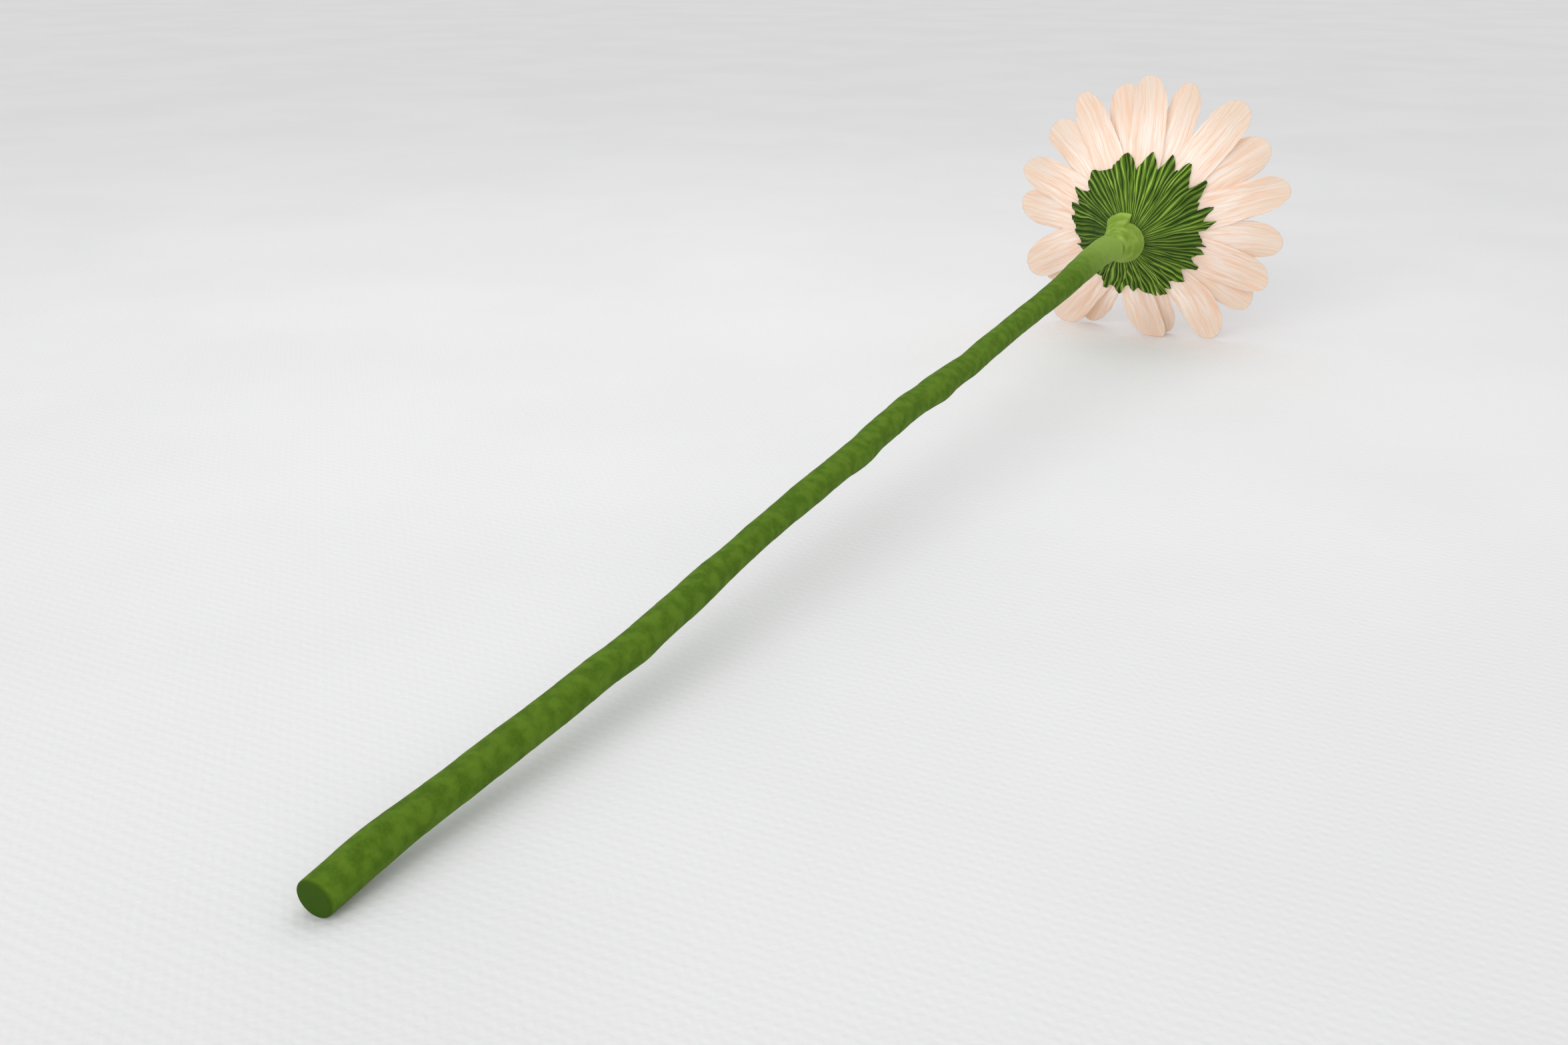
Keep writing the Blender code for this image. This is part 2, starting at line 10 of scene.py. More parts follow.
import bmesh
import bpy
import numpy as np
from bpy.props import FloatProperty, FloatVectorProperty, IntProperty, PointerProperty
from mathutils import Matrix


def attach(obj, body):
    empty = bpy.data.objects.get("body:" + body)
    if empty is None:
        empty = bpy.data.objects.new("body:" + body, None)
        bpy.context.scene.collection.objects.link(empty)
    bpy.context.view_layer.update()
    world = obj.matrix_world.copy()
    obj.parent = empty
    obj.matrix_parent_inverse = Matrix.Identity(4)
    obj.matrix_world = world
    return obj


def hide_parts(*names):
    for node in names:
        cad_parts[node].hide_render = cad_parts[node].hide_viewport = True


bl_info = {
    "name": "Paper gerbera",
    "version": (1, 0, 0),
    "blender": (4, 5, 0),
    "location": "3D View > Sidebar > Gerbera",
    "description": "Crepe petals, pleated calyx and taped stem of a handmade gerbera",
    "category": "Add Mesh",
}

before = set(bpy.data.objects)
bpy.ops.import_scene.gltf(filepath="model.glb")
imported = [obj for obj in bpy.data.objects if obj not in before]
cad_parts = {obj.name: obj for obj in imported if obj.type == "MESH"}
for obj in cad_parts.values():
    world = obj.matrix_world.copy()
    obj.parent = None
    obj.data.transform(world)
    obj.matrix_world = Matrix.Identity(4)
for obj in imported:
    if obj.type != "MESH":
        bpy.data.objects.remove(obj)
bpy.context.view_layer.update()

MM = 0.001
UP = np.array((0.0, 0.0, 1.0))
FLOOR_GAP = 0.02
PRESS_SOFTNESS = 0.35
WELD_DISTANCE = 0.0005
ROW_SHIFT = np.array((3.12, -219.45, 0.0))
CUT_END = np.array((0.0, -1.0, 3.48)) + ROW_SHIFT
HEAD_CENTRE = np.array((0.0, 398.2, 42.8)) + ROW_SHIFT
HEAD_YAW_DEG = -5.8
HEAD_LIFT_DEG = 3.8

# The flare that calyx and petals share: distance along the head's axis against radius.
FLARE = (-6.942, 1.2798, -0.01054)
ROOT_RADIUS = 4.6
SPLIT_RADIUS = 8.0
LAYER_STEP = 1.7

# The petals: the tip's azimuth from straight up, how far it leans round from the root, the
# tip's radius, the tip's distance along the axis, the half widths before and after the middle
# (in the direction of growing azimuth), and the lengths over which each half rounds off.
OUTER_ROW = (
    (-142.8, 0.0, 55.4, 38.0, 7.0, 7.3, 9.0, 9.0),
    (-117.0, -7.0, 50.3, 31.6, 7.0, 7.8, 9.0, 14.0),
    (-72.4, 0.0, 50.4, 31.8, 5.8, 8.0, 13.0, 10.0),
    (-31.4, 0.0, 51.5, 31.6, 6.3, 5.7, 10.0, 15.0),
    (-3.4, -1.5, 51.0, 32.0, 5.8, 6.9, 10.0, 12.0),
    (36.2, 0.0, 53.1, 31.2, 6.7, 7.0, 11.0, 9.5),
    (75.4, 0.0, 51.4, 32.2, 7.0, 6.3, 9.0, 13.0),
    (117.6, 0.0, 49.8, 31.6, 8.3, 5.2, 11.0, 11.0),
    (148.8, 9.0, 52.2, 33.0, 6.6, 6.2, 10.0, 11.0),
    (171.0, -16.0, 46.2, 28.6, 5.4, 7.8, 8.0, 12.0),
)
INNER_ROW = (
    (-153.0, 3.0, 49.8, 41.0, 5.4, 6.6, 11.0, 10.0),
    (-124.0, 0.0, 46.8, 35.2, 6.5, 6.5, 10.0, 10.0),
    (-88.6, 0.0, 49.4, 35.2, 7.3, 6.3, 10.0, 9.0),
    (-49.6, -4.5, 49.2, 34.6, 6.8, 5.8, 4.0, 9.0),
    (-14.4, 0.0, 48.6, 34.8, 6.8, 6.0, 10.0, 10.0),
    (13.0, -4.5, 49.6, 35.4, 5.5, 5.8, 11.0, 11.0),
    (55.0, 0.0, 49.3, 34.4, 7.5, 6.6, 9.0, 9.0),
    (99.5, 0.0, 49.0, 35.0, 7.4, 5.8, 11.0, 10.0),
    (130.0, 0.0, 50.0, 35.4, 7.3, 5.2, 9.0, 9.0),
    (169.0, 0.0, 46.0, 36.0, 5.2, 6.0, 10.0, 10.0),
)
PETAL_ROOT_SHARE = 0.40
PETAL_GROWTH_SHARE = 0.62
PETAL_TIP_POWER = 2.2
PETAL_ROW_POWER = 1.35
PETAL_RAGGED = 0.13
PETAL_SLIT = 0.25
PETAL_TIP_NOTCH = 0.5
PETAL_WAVE = 0.35
PETAL_WAVE_RADII = (18.0, 40.0)
PETAL_CREPE_RADII = (8.2, 13.0)
PETAL_FOLD_SIZE = (5.5, 17.0)
PETAL_RIPPLE_SIZE = (2.6, 8.0)
PETAL_RIPPLE_RADIUS = 30.0
PETAL_BEND_RADIUS = 24.0
PETAL_EDGE_CURL = 0.7
PETAL_CURL_RATE = 1.6
PETAL_COLUMNS = 104
PETAL_ROWS = 37
ROOT_ROWS = (4.6, 5.7, 6.85, 8.0)
OUTER_LAYER = LAYER_STEP - 0.2
INNER_LAYER = 2 * LAYER_STEP - 0.2
OUTER_SEED = 1.0
INNER_SEED = 20.0
PETAL_SEED_STEP = 1.37

# The calyx's cut edge: azimuth and radius of each corner, clockwise seen from behind.
CALYX_RIM = (
    (-118.2, 22.5), (-114.4, 23.4), (-110.9, 24.7), (-110.8, 22.4), (-107.5, 22.3),
    (-103.6, 23.1), (-100.1, 24.1), (-98.5, 24.6), (-97, 23.4), (-93.5, 23.9), (-89.6, 25.2),
    (-86.9, 25.9), (-85.6, 24.4), (-83.9, 24.3), (-79.5, 26.6), (-76.7, 26.8), (-76.4, 23.2),
    (-73.5, 24.3), (-71.7, 24.4), (-67.7, 26.7), (-65.5, 28), (-64.8, 25.8), (-61.6, 23.1),
    (-57.7, 22.1), (-56.8, 23.3), (-54.8, 24.9), (-51.6, 24.8), (-49.4, 26), (-46.3, 26.5),
    (-43.8, 25.7), (-40.4, 24.4), (-35.8, 23.6), (-29.4, 23), (-28.1, 23.9), (-25.6, 24),
    (-24.1, 24.7), (-22.3, 24.4), (-20.9, 25.1), (-18.5, 25.9), (-15.7, 26.3), (-14.1, 26.2),
    (-12, 25.4), (-10.2, 24.3), (-8.7, 22.4), (-6.1, 20.3), (-5.2, 21.3), (-3.1, 22.3),
    (-1.5, 22.7), (1, 24.4), (4.3, 26), (5.6, 26.4), (7.6, 25.1), (12.1, 22.4), (14.2, 21.3),
    (17.1, 23.4), (18.9, 25.6), (19.8, 27), (21.6, 26.9), (24.1, 25.6), (28.5, 22.8),
    (29.4, 23.7), (30.5, 23.5), (32.3, 26.1), (33.5, 27.5), (35.9, 27.5), (41.1, 24.5),
    (44.4, 23.2), (48.6, 21.8), (50.4, 25.1), (51.7, 27.4), (54.3, 27.2), (56.2, 25.8),
    (60.6, 23.6), (62.6, 22), (64, 22.9), (66.2, 22.2), (70.6, 21.2), (70.8, 24), (72.4, 26.6),
    (74, 26), (76, 24.4), (79.6, 23), (82.1, 22.3), (83.1, 25), (83.3, 26.8), (85.1, 25.8),
    (86.8, 24.8), (89.8, 23.4), (90.2, 20.9), (94.4, 21.7), (100.7, 23), (102, 22.7),
    (104, 24.2), (104.8, 24.8), (105.2, 22.6), (105.8, 21.2), (109.1, 24.1), (110.8, 25.2),
    (113.9, 22.9), (117.5, 21.7), (121.1, 23), (123.4, 25.9), (126.1, 25.9), (128.9, 23.1),
    (131.7, 21.5), (137, 24), (138.8, 26.1), (141.1, 26), (146.3, 23.4), (149.5, 22.6),
    (151.6, 26.2), (156, 25), (156.4, 27.7), (161, 27.5), (162.5, 27.6), (162.9, 25.9),
    (163.4, 23.3), (164.7, 25.4), (165.3, 27.6), (169.5, 26), (171.6, 25.9), (175.9, 24.3),
    (178.4, 23.1), (181.1, 24.2), (182.4, 25.2), (185.8, 23.6), (187, 22.4), (189.6, 23),
    (191.7, 24.7), (193.2, 27.7), (194.7, 28.4), (196.7, 27.1), (199.9, 25.4), (203.6, 25.4),
    (205.1, 28.3), (207.7, 28.1), (208.5, 26.4), (213.3, 23.8), (217.1, 24.4), (220, 25.4),
    (225.5, 22.6), (232, 25.6), (238, 22.4),
)
CALYX_START = -118.2
CALYX_ROWS = 44
CALYX_ROW_POWER = 1.15
CALYX_NOISE_RADIUS = 9.0
CALYX_SWIRL_DEG = 8.0
CALYX_SAG = 0.45
CALYX_SAG_RADII = (12.0, 22.0)
CALYX_BEND = 0.7
CALYX_BEND_RADIUS = 19.0
CALYX_BEND_REACH = 8.0
PLEAT_STEPS = 9
PLEAT_WIDTHS = (0.5, 1.6)
PLEAT_POWER = 0.85
PLEAT_SWAY = 0.22
PLEAT_VARIATION = 0.55
PLEAT_NOISE_RADIUS = 30.0

# The three noises by which the pleats wander: degrees, rate round, shift and length along.
CALYX_WANDER = ((3.0, 0.45, 40.0, 14.0), (1.6, 1.5, 9.0, 5.0), (0.7, 3.4, 9.0, 2.6))

# The stem at shares of its length: how far it strays from its straight line, and its radius.
STEM_SHARES = (0.0, 0.04, 0.10, 0.18, 0.27, 0.35, 0.45, 0.55, 0.65, 0.80, 0.84, 0.89, 1.0)
STEM_OFFSETS = (0.0, -0.5, 0.1, 0.6, 0.6, -0.7, -1.1, -1.7, -1.1, -1.0, -1.1, -1.8, -2.0)
STEM_RADII = (3.8, 3.95, 3.75, 3.7, 3.6, 3.35, 3.5, 3.75, 3.55, 3.5, 3.55, 3.65, 3.7)
BEND_DIRECTION = np.array((0.69, 0.07, -0.72))
STATION_SHARES = (0.0, 0.04, 0.10, 0.18, 0.27, 0.35, 0.45, 0.55, 0.65, 0.75, 0.83, 0.89, 0.94)
NECK_STATIONS = (-11.0, -6.5, -1.9)
NECK_SHIFT = (-1.4, 0.3)
NECK_RADIUS = 4.8
NECK_REACH = 55.0
STEM_COLUMNS = 73
STEM_ROW_STEP = 0.62
STEM_PLAN_RADIUS = 3.6
CUT_FACE_ROWS = 6
CUT_CORNER_ROWS = 7
CUT_ROUNDING = 0.55
TAPE_INSET = 0.1
TAPE_CREPE = 0.035
TAPE_END_REACH = 14.0
TAPE_END_ROWS = 50
TAPE_END_RISE = 0.12
NECK_FADE = (62.0, 22.0)

# Lumps of the wound tape: the share of the stem's length, the push along BEND_DIRECTION, the
# swelling, and the reach as a share of the length.
STEM_LUMPS = (
    (0.066, 0.1, -0.25, 0.025),
    (0.155, 0.18, -0.05, 0.03),
    (0.224, 0.38, 0.22, 0.018),
    (0.298, -0.15, 0.2, 0.022),
    (0.42, 0.0, 0.2, 0.03),
    (0.478, 0.42, 0.2, 0.018),
    (0.554, -0.25, 0.05, 0.016),
    (0.6, 0.32, 0.5, 0.018),
    (0.65, 0.42, 0.0, 0.02),
)

# The curved end of the stem's tape: the angle round the neck, and the place along the head's axis.
NECK_EDGE = (
    (-180.0, -20.0), (-120.0, -18.0), (-80.0, -18.0), (-35.0, -18.6), (2.0, -20.5), (18.0, -20.2),
    (30.0, -19.3), (44.0, -18.1), (64.0, -18.0), (88.0, -18.2), (112.0, -17.7), (140.0, -17.7),
    (180.0, -20.0),
)

# The collar as it is turned: the distance along the head's axis, the radius, and from 0 to 1
# how far its centre has moved from the neck to the disc and how far it sits on the calyx.
COLLAR_PROFILE = (
    (-27.0, 4.35, 0.0, 0.0), (-24.0, 4.45, 0.0, 0.0), (-20.0, 4.55, 0.0, 0.0),
    (-16.0, 4.75, 0.0, 0.0), (-12.0, 5.05, 0.05, 0.0), (-10.0, 5.6, 0.2, 0.0),
    (-8.0, 6.25, 0.5, 0.0), (-5.0, 6.85, 0.9, 0.0), (-3.2, 7.08, 1.0, 0.0),
    (-2.4, 7.05, 1.0, 0.0), (-2.0, 6.8, 1.0, 0.6), (-2.0, 6.0, 0.6, 1.0), (-2.0, 4.9, 0.0, 1.0),
)
COLLAR_ROWS = 170
COLLAR_COLUMNS = 241
COLLAR_PLAN_RADIUS = 5.2
COLLAR_RIM_RADIUS = 7.05
COLLAR_SHIFT = (-1.3, -1.3)
COLLAR_SEAT = 0.75
COLLAR_SHEET = 0.16

# One fold and two creases on the collar: the angle round it and the place along the axis of
# the middle, the reach round and along, the slope, the height and how much painted shade it gets.
COLLAR_MARKS = (
    (44.0, -16.9, 15.0, 0.9, 0.085, 0.8, 0.0),
    (27.0, -18.81, 8.0, 0.3, 0.06, -0.4, 1.0),
    (90.0, -16.8, 24.0, 0.85, 0.0, -0.45, 0.85),
)

# The loose end of the collar's tape, as azimuth and radius of its outline on the calyx.
FLAP_OUTLINE = (
    (-74.0, 8.6), (-66.0, 9.5), (-58.8, 9.8), (-49.0, 9.6), (-40.7, 9.2), (-25.0, 8.8), (-12.0, 8.2),
    (-1.0, 7.9), (3.3, 7.6),
)

# The rings of the fringe: the radius that the blades reach, the distance along the head's axis
# of their tips, and the ring's turn as a share of a blade.
FRINGE_RINGS = ((17.5, 20.9, 0.0), (14.6, 22.9, 0.5))
FRINGE_FOOT = 8.2
FRINGE_BAND_RADIUS = 8.3
FRINGE_SHEET = 0.2
BLADE_GRID = (11, 6)
BAND_GRID = (5, 96)

# The rolled centre as it is turned: the distance along the head's axis and the radius. The
# tufts stand on its top, whose height is given again at a few radii.
CENTRE_PROFILE = (
    (-1.5, 0.02), (-1.5, 2.0), (-1.5, 3.8), (-1.0, 4.0), (4.0, 4.0), (9.0, 4.1), (11.0, 6.0),
    (12.5, 7.5), (13.4, 7.5), (14.2, 6.6), (14.9, 5.0), (15.4, 2.5), (15.6, 0.02),
)
CENTRE_TOP_RADII = (0.0, 2.5, 5.0, 6.6, 7.5)
CENTRE_TOP = (15.6, 15.4, 14.9, 14.2, 13.4)
CENTRE_GRID = (90, 72)
TUFT_GRID = (7, 6)
TUFT_REACH = 7.15
TUFT_LIMIT = 17.6

# The light: an even pale sky, a broad window low behind the camera and a soft panel above.
SKY_STRENGTH = 0.71
WINDOW_STRENGTH = 3.2
WINDOW_BREADTH_DEG = 60.0
WINDOW_TURN_DEG = (87.0, 0.0, 2.0)
PANEL_SIZE = 0.7
PANEL_POWER = 0.75
PANEL_PLACE = (-0.10, 0.05, 0.5)
FLOOR_RINGS = (0.001, 60.0, 180.0, 420.0, 900.0, 2000.0, 5000.0, 9000.0)
FLOOR_COLUMNS = 96

# The camera stands where the photograph was taken from.
CAMERA_PLACE = (0.17632, -0.37191, 0.15231)
CAMERA_TURN_DEG = (90.0 - 21.1, 0.0, 29.674)
CAMERA_LENS = 36.73
CAMERA_SENSOR = 36.0
CAMERA_CLIP = (0.01, 50.0)

# The table behind every noise, and the seeds of the other random draws.
NOISE_SIDE = 256
NOISE_SEED = 7
NOISE_TABLE = np.random.default_rng(NOISE_SEED).uniform(-1.0, 1.0, (NOISE_SIDE, NOISE_SIDE))
PLEAT_SEED = 23
FRINGE_SEED = 31
TUFT_SEED = 12


def paint(red, green, blue):
    """A scene-linear colour from display values of 0 to 255, by the standard curve."""
    shares = [value / 255.0 for value in (red, green, blue)]
    return tuple(s / 12.92 if s < 0.04045 else ((s + 0.055) / 1.055) ** 2.4 for s in shares)


# Shapes


def noise(u, v):
    """Smooth noise from -1 to 1: the four table values round (u, v), mixed by eased shares."""
    low_u = np.floor(u)
    low_v = np.floor(v)
    share_u = u - low_u
    share_v = v - low_v
    share_u = share_u * share_u * (3.0 - 2.0 * share_u)
    share_v = share_v * share_v * (3.0 - 2.0 * share_v)
    i = low_u.astype(int) % NOISE_SIDE
    j = low_v.astype(int) % NOISE_SIDE
    i1 = (i + 1) % NOISE_SIDE
    j1 = (j + 1) % NOISE_SIDE
    near = NOISE_TABLE[i, j] * (1.0 - share_v) + NOISE_TABLE[i, j1] * share_v
    far = NOISE_TABLE[i1, j] * (1.0 - share_v) + NOISE_TABLE[i1, j1] * share_v
    return near * (1.0 - share_u) + far * share_u


def round_and_back(maker, angle):
    """A field of an angle that meets itself after a turn: two readings half a turn apart, each
    faded out where its own seam lies."""
    share = np.sin(angle / 2.0) ** 2
    shown = maker(angle % (2.0 * math.pi))
    other = maker((angle + math.pi) % (2.0 * math.pi) + 11.0)
    return shown * share + other * (1.0 - share)


def ease(value, start, end):
    """0 below start, 1 above end, and a smooth cubic between."""
    share = np.clip((value - start) / (end - start), 0.0, 1.0)
    return share * share * (3.0 - 2.0 * share)


def smooth_through(x, knots, values):
    """A cubic through each value at its knot, with the slope of the knots on both sides."""
    knots = np.asarray(knots, float)
    values = np.asarray(values, float)
    slopes = np.gradient(values, knots, axis=0)
    cell = np.clip(np.searchsorted(knots, x, side="right") - 1, 0, len(knots) - 2)
    width = knots[cell + 1] - knots[cell]
    t = (x - knots[cell]) / width
    if values.ndim > 1:
        t = t[..., None]
        width = width[..., None]
    before = values[cell] * (1 + 2 * t) * (1 - t) ** 2 + slopes[cell] * width * t * (1 - t) ** 2
    after = values[cell + 1] * t * t * (3 - 2 * t) + slopes[cell + 1] * width * t * t * (t - 1)
    return before + after


def bell(*offsets):
    """1 where every offset is 0, falling off with the sum of their squares."""
    return np.exp(-sum(offset**2 for offset in offsets))


def along_profile(profile, count):
    """Even shares of a profile's length, and its columns read there on a smooth curve."""
    share = np.linspace(0.0, len(profile) - 1.0, count)
    return share, np.moveaxis(smooth_through(share, np.arange(len(profile)), profile), 1, 0)


def head_axes():
    """The head's own axes as columns: right, along the bloom's axis, and up."""
    yaw = math.radians(HEAD_YAW_DEG)
    lift = math.radians(HEAD_LIFT_DEG)
    along = (math.sin(yaw) * math.cos(lift), math.cos(yaw) * math.cos(lift), math.sin(lift))
    right = np.cross(along, UP)
    right /= np.linalg.norm(right)
    return np.stack((right, along, np.cross(right, along)), axis=1)


AXES = head_axes()


def flare(radius):
    """Distance along the head's axis at a radius on the back surface of the flower."""
    return FLARE[0] + FLARE[1] * radius + FLARE[2] * radius * radius


def on_head(azimuth, radius, along):
    """Row-frame points from azimuths in degrees, radii and distances along the head's axis."""
    angle = np.radians(azimuth)
    along = along + np.zeros_like(angle)
    local = np.stack((radius * np.sin(angle), along, radius * np.cos(angle)), axis=-1)
    return local @ AXES.T + HEAD_CENTRE


def pressed(points, height):
    """Bends upward what would go below a height, so that it lies flat on the cloth."""
    out = points.copy()
    above = (points[..., 2] - height) / PRESS_SOFTNESS
    out[..., 2] = height + PRESS_SOFTNESS * np.logaddexp(0.0, above)
    return out


def grid_faces(rows, columns, closed=False, copies=1):
    """Quads between neighbouring points of a grid, once for each copy that follows another."""
    index = np.arange(rows * columns).reshape(rows, columns)
    if closed:
        index = np.concatenate((index, index[:, :1]), axis=1)
    corners = (index[:-1, :-1], index[:-1, 1:], index[1:, 1:], index[1:, :-1])
    faces = np.stack(corners, axis=-1).reshape(-1, 4)
    starts = np.arange(copies) * rows * columns
    return (faces[None] + starts[:, None, None]).reshape(-1, 4)


def sheet_mesh(name, parts):
    """One mesh from several (points, faces, plan, fields): whole arrays in millimetres.

    plan is the flat place of each point on its paper, for the UV map, and fields are numbers
    for each point that the material reads.
    """
    starts = np.cumsum([0] + [part[0].size // 3 for part in parts])
    points = np.concatenate([part[0].reshape(-1, 3) for part in parts]) * MM
    faces = np.concatenate([part[1] + start for part, start in zip(parts, starts)])
    plan = np.concatenate([part[2].reshape(-1, 2) for part in parts])
    mesh = bpy.data.meshes.new(name)
    mesh.vertices.add(len(points))
    mesh.vertices.foreach_set("co", points.astype(np.float32).ravel())
    mesh.loops.add(faces.size)
    mesh.loops.foreach_set("vertex_index", faces.astype(np.int32).ravel())
    mesh.polygons.add(len(faces))
    mesh.polygons.foreach_set("loop_start", np.arange(0, faces.size, 4, dtype=np.int32))
    mesh.polygons.foreach_set("use_smooth", np.ones(len(faces), bool))
    mesh.uv_layers.new(name="paper").data.foreach_set(
        "uv", plan[faces.ravel()].astype(np.float32).ravel()
    )
    for field in parts[0][3]:
        values = np.concatenate([part[3][field].ravel() for part in parts])
        made = mesh.attributes.new(field, "FLOAT", "POINT")
        made.data.foreach_set("value", values.astype(np.float32))
    mesh.update(calc_edges=True)
    return mesh


def welded(mesh, outward=False):
    """Merges points that lie in one place, and turns a closed form's faces outward."""
    shell = bmesh.new()
    shell.from_mesh(mesh)
    bmesh.ops.remove_doubles(shell, verts=shell.verts, dist=WELD_DISTANCE * MM)
    if outward:
        bmesh.ops.recalc_face_normals(shell, faces=shell.faces)
    shell.to_mesh(mesh)
    shell.free()
    return mesh


def put_piece(mesh, finish, replaced, thickness=0.0):
    """Links the mesh as a piece of the object, with its finish and, for a sheet, a thickness."""
    piece = bpy.data.objects.new(mesh.name, mesh)
    bpy.context.scene.collection.objects.link(piece)
    mesh.materials.append(finish)
    if thickness:
        wall = piece.modifiers.new("paper thickness", "SOLIDIFY")
        wall.thickness = thickness * MM
        wall.offset = 0.0
        wall.use_rim = True
    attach(piece, "root")
    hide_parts(*replaced)


def crepe_height(across, along, seed):
    """Crinkles of crepe paper: ridges along the grain that wander, split and fade.

    Two noises, about 1.1 and 0.5 mm across and drawn out lengthwise, are read at places that
    two slower noises have pushed sideways.
    """
    push = 0.9 * noise(across / 4.0 + seed, along / 9.0 + 3.1 * seed)
    push = push + 0.4 * noise(across / 1.7 + 2.0 * seed, along / 5.0)
    coarse = noise((across + push) / 0.55 + 5.3 * seed, along / 15.0 + seed)
    fine = noise((across + push) / 0.29 + 9.7 * seed, along / 8.0 + 2.0 * seed)
    return 0.6 * coarse + 0.4 * fine


def petal_half_width(radius, shoulder, widest):
    """Half a petal's width below its rounded tip: slim at the root, full at the shoulder."""
    share = np.clip((radius - SPLIT_RADIUS) / (shoulder - SPLIT_RADIUS), 0.0, 1.0)
    growth = np.sin(np.minimum(1.0, share / PETAL_GROWTH_SHARE) * math.pi / 2.0)
    return widest * (PETAL_ROOT_SHARE + (1.0 - PETAL_ROOT_SHARE) * growth)


def petal_sheet(petal, edges, layer, curl, seed, sizes):
    """One petal as a grid: columns run from root to tip, rows across.

    Columns crowd towards the edges, and rows towards the tip. Each column keeps its share of
    the half width and ends where the rounded outline shoulder + tip length *
    (1 - share^2)^(1/power) cuts it. The sheet follows the flare, lifts with the square of the
    distance past the bend, cups or rolls at its edges, and takes the crinkles and a few soft
    folds on top.
    """
    azimuth, lean, tip_radius, tip_along = petal[:4]
    column = np.linspace(-1.0, 1.0, PETAL_COLUMNS + 1)[None, :]
    side = 0.3 * column + 0.7 * np.sin(column * math.pi / 2.0)
    widest = np.where(side < 0.0, petal[4], petal[5])
    tip_length = np.where(side < 0.0, petal[6], petal[7])
    shoulder = tip_radius - tip_length
    end = shoulder + tip_length * np.clip(1.0 - side**2, 0.0, 1.0) ** (1 / PETAL_TIP_POWER)
    notch = noise(side * 8.0 + seed, side * 0.0 + seed) ** 2
    end = end - PETAL_TIP_NOTCH * (1.0 - side**2) * notch
    step = (np.arange(1, PETAL_ROWS + 1) / PETAL_ROWS)[:, None]
    outer = SPLIT_RADIUS + (end - SPLIT_RADIUS) * (1.0 - (1.0 - step) ** PETAL_ROW_POWER)
    root = np.array(ROOT_ROWS)[:, None] + 0.0 * side
    radius = np.concatenate((root, outer))
    side = side + 0.0 * radius
    half = petal_half_width(radius, shoulder, widest)
    slit = np.degrees(PETAL_SLIT / radius)
    limit = np.where(side < 0.0, edges[0], edges[1])
    ragged = PETAL_RAGGED * noise(radius / 1.9 + 5.0 * seed, np.sign(side) + seed)
    free = np.minimum(np.degrees((half + ragged) / radius), limit - slit)
    reach = np.where(radius <= SPLIT_RADIUS, limit, free)
    station = np.clip((radius - SPLIT_RADIUS) / (tip_radius - SPLIT_RADIUS), 0.0, 1.0)
    wave = ease(radius, *PETAL_WAVE_RADII) * np.degrees(PETAL_WAVE / radius)
    turn = wave * noise(radius / 11.0 + seed, side * 0.7 + seed)
    place = azimuth - lean * (1.0 - station) + reach * side + turn
    across = side * (0.5 * widest + 0.5 * half)
    grown = ease(radius, *PETAL_CREPE_RADII)
    height = crepe_height(across, radius, seed)
    wide, long = PETAL_FOLD_SIZE
    fold = noise(across / wide + seed, radius / long + 7.0 * seed)
    wide, long = PETAL_RIPPLE_SIZE
    ripple = noise(across / wide + 3.0 * seed, radius / long + seed)
    lift = tip_along - flare(tip_radius) - layer
    out = np.maximum(0.0, radius - PETAL_BEND_RADIUS) / (tip_radius - PETAL_BEND_RADIUS)
    along = flare(radius) + layer + lift * out**2
    along = along + curl * side**2 * np.minimum(1.0, PETAL_CURL_RATE * out)
    along = along + grown * (sizes.crinkle_depth * height + sizes.fold_depth * fold)
    near_tip = ease(radius, PETAL_RIPPLE_RADIUS, tip_radius)
    along = along + sizes.ripple_depth * near_tip * ripple
    points = pressed(on_head(place, radius, along), sizes.petal_sheet / 2.0 + FLOOR_GAP)
    plan = np.stack((across + 31.0 * seed, radius), axis=-1)
    fields = {
        # The crinkle's height also sets the valleys' colour, which is partly painted shade.
        "crinkle": height * grown,
        "station": station,
        "shade": noise(across * 0.0 + 17.0 * seed, radius * 0.0 + seed),
    }
    return points, grid_faces(*radius.shape), plan, fields


def petal_row(name, row, layer, curl, seed, sizes):
    """All petals of one wound strip, joined where the strip isn't cut."""
    azimuths = np.array([petal[0] - petal[1] for petal in row])
    gaps = (np.roll(azimuths, -1) - azimuths) % 360.0 / 2.0
    parts = [
        petal_sheet(petal, (gaps[k - 1], gaps[k]), layer, curl, seed + PETAL_SEED_STEP * k, sizes)
        for k, petal in enumerate(row)
    ]
    return welded(sheet_mesh(name, parts))


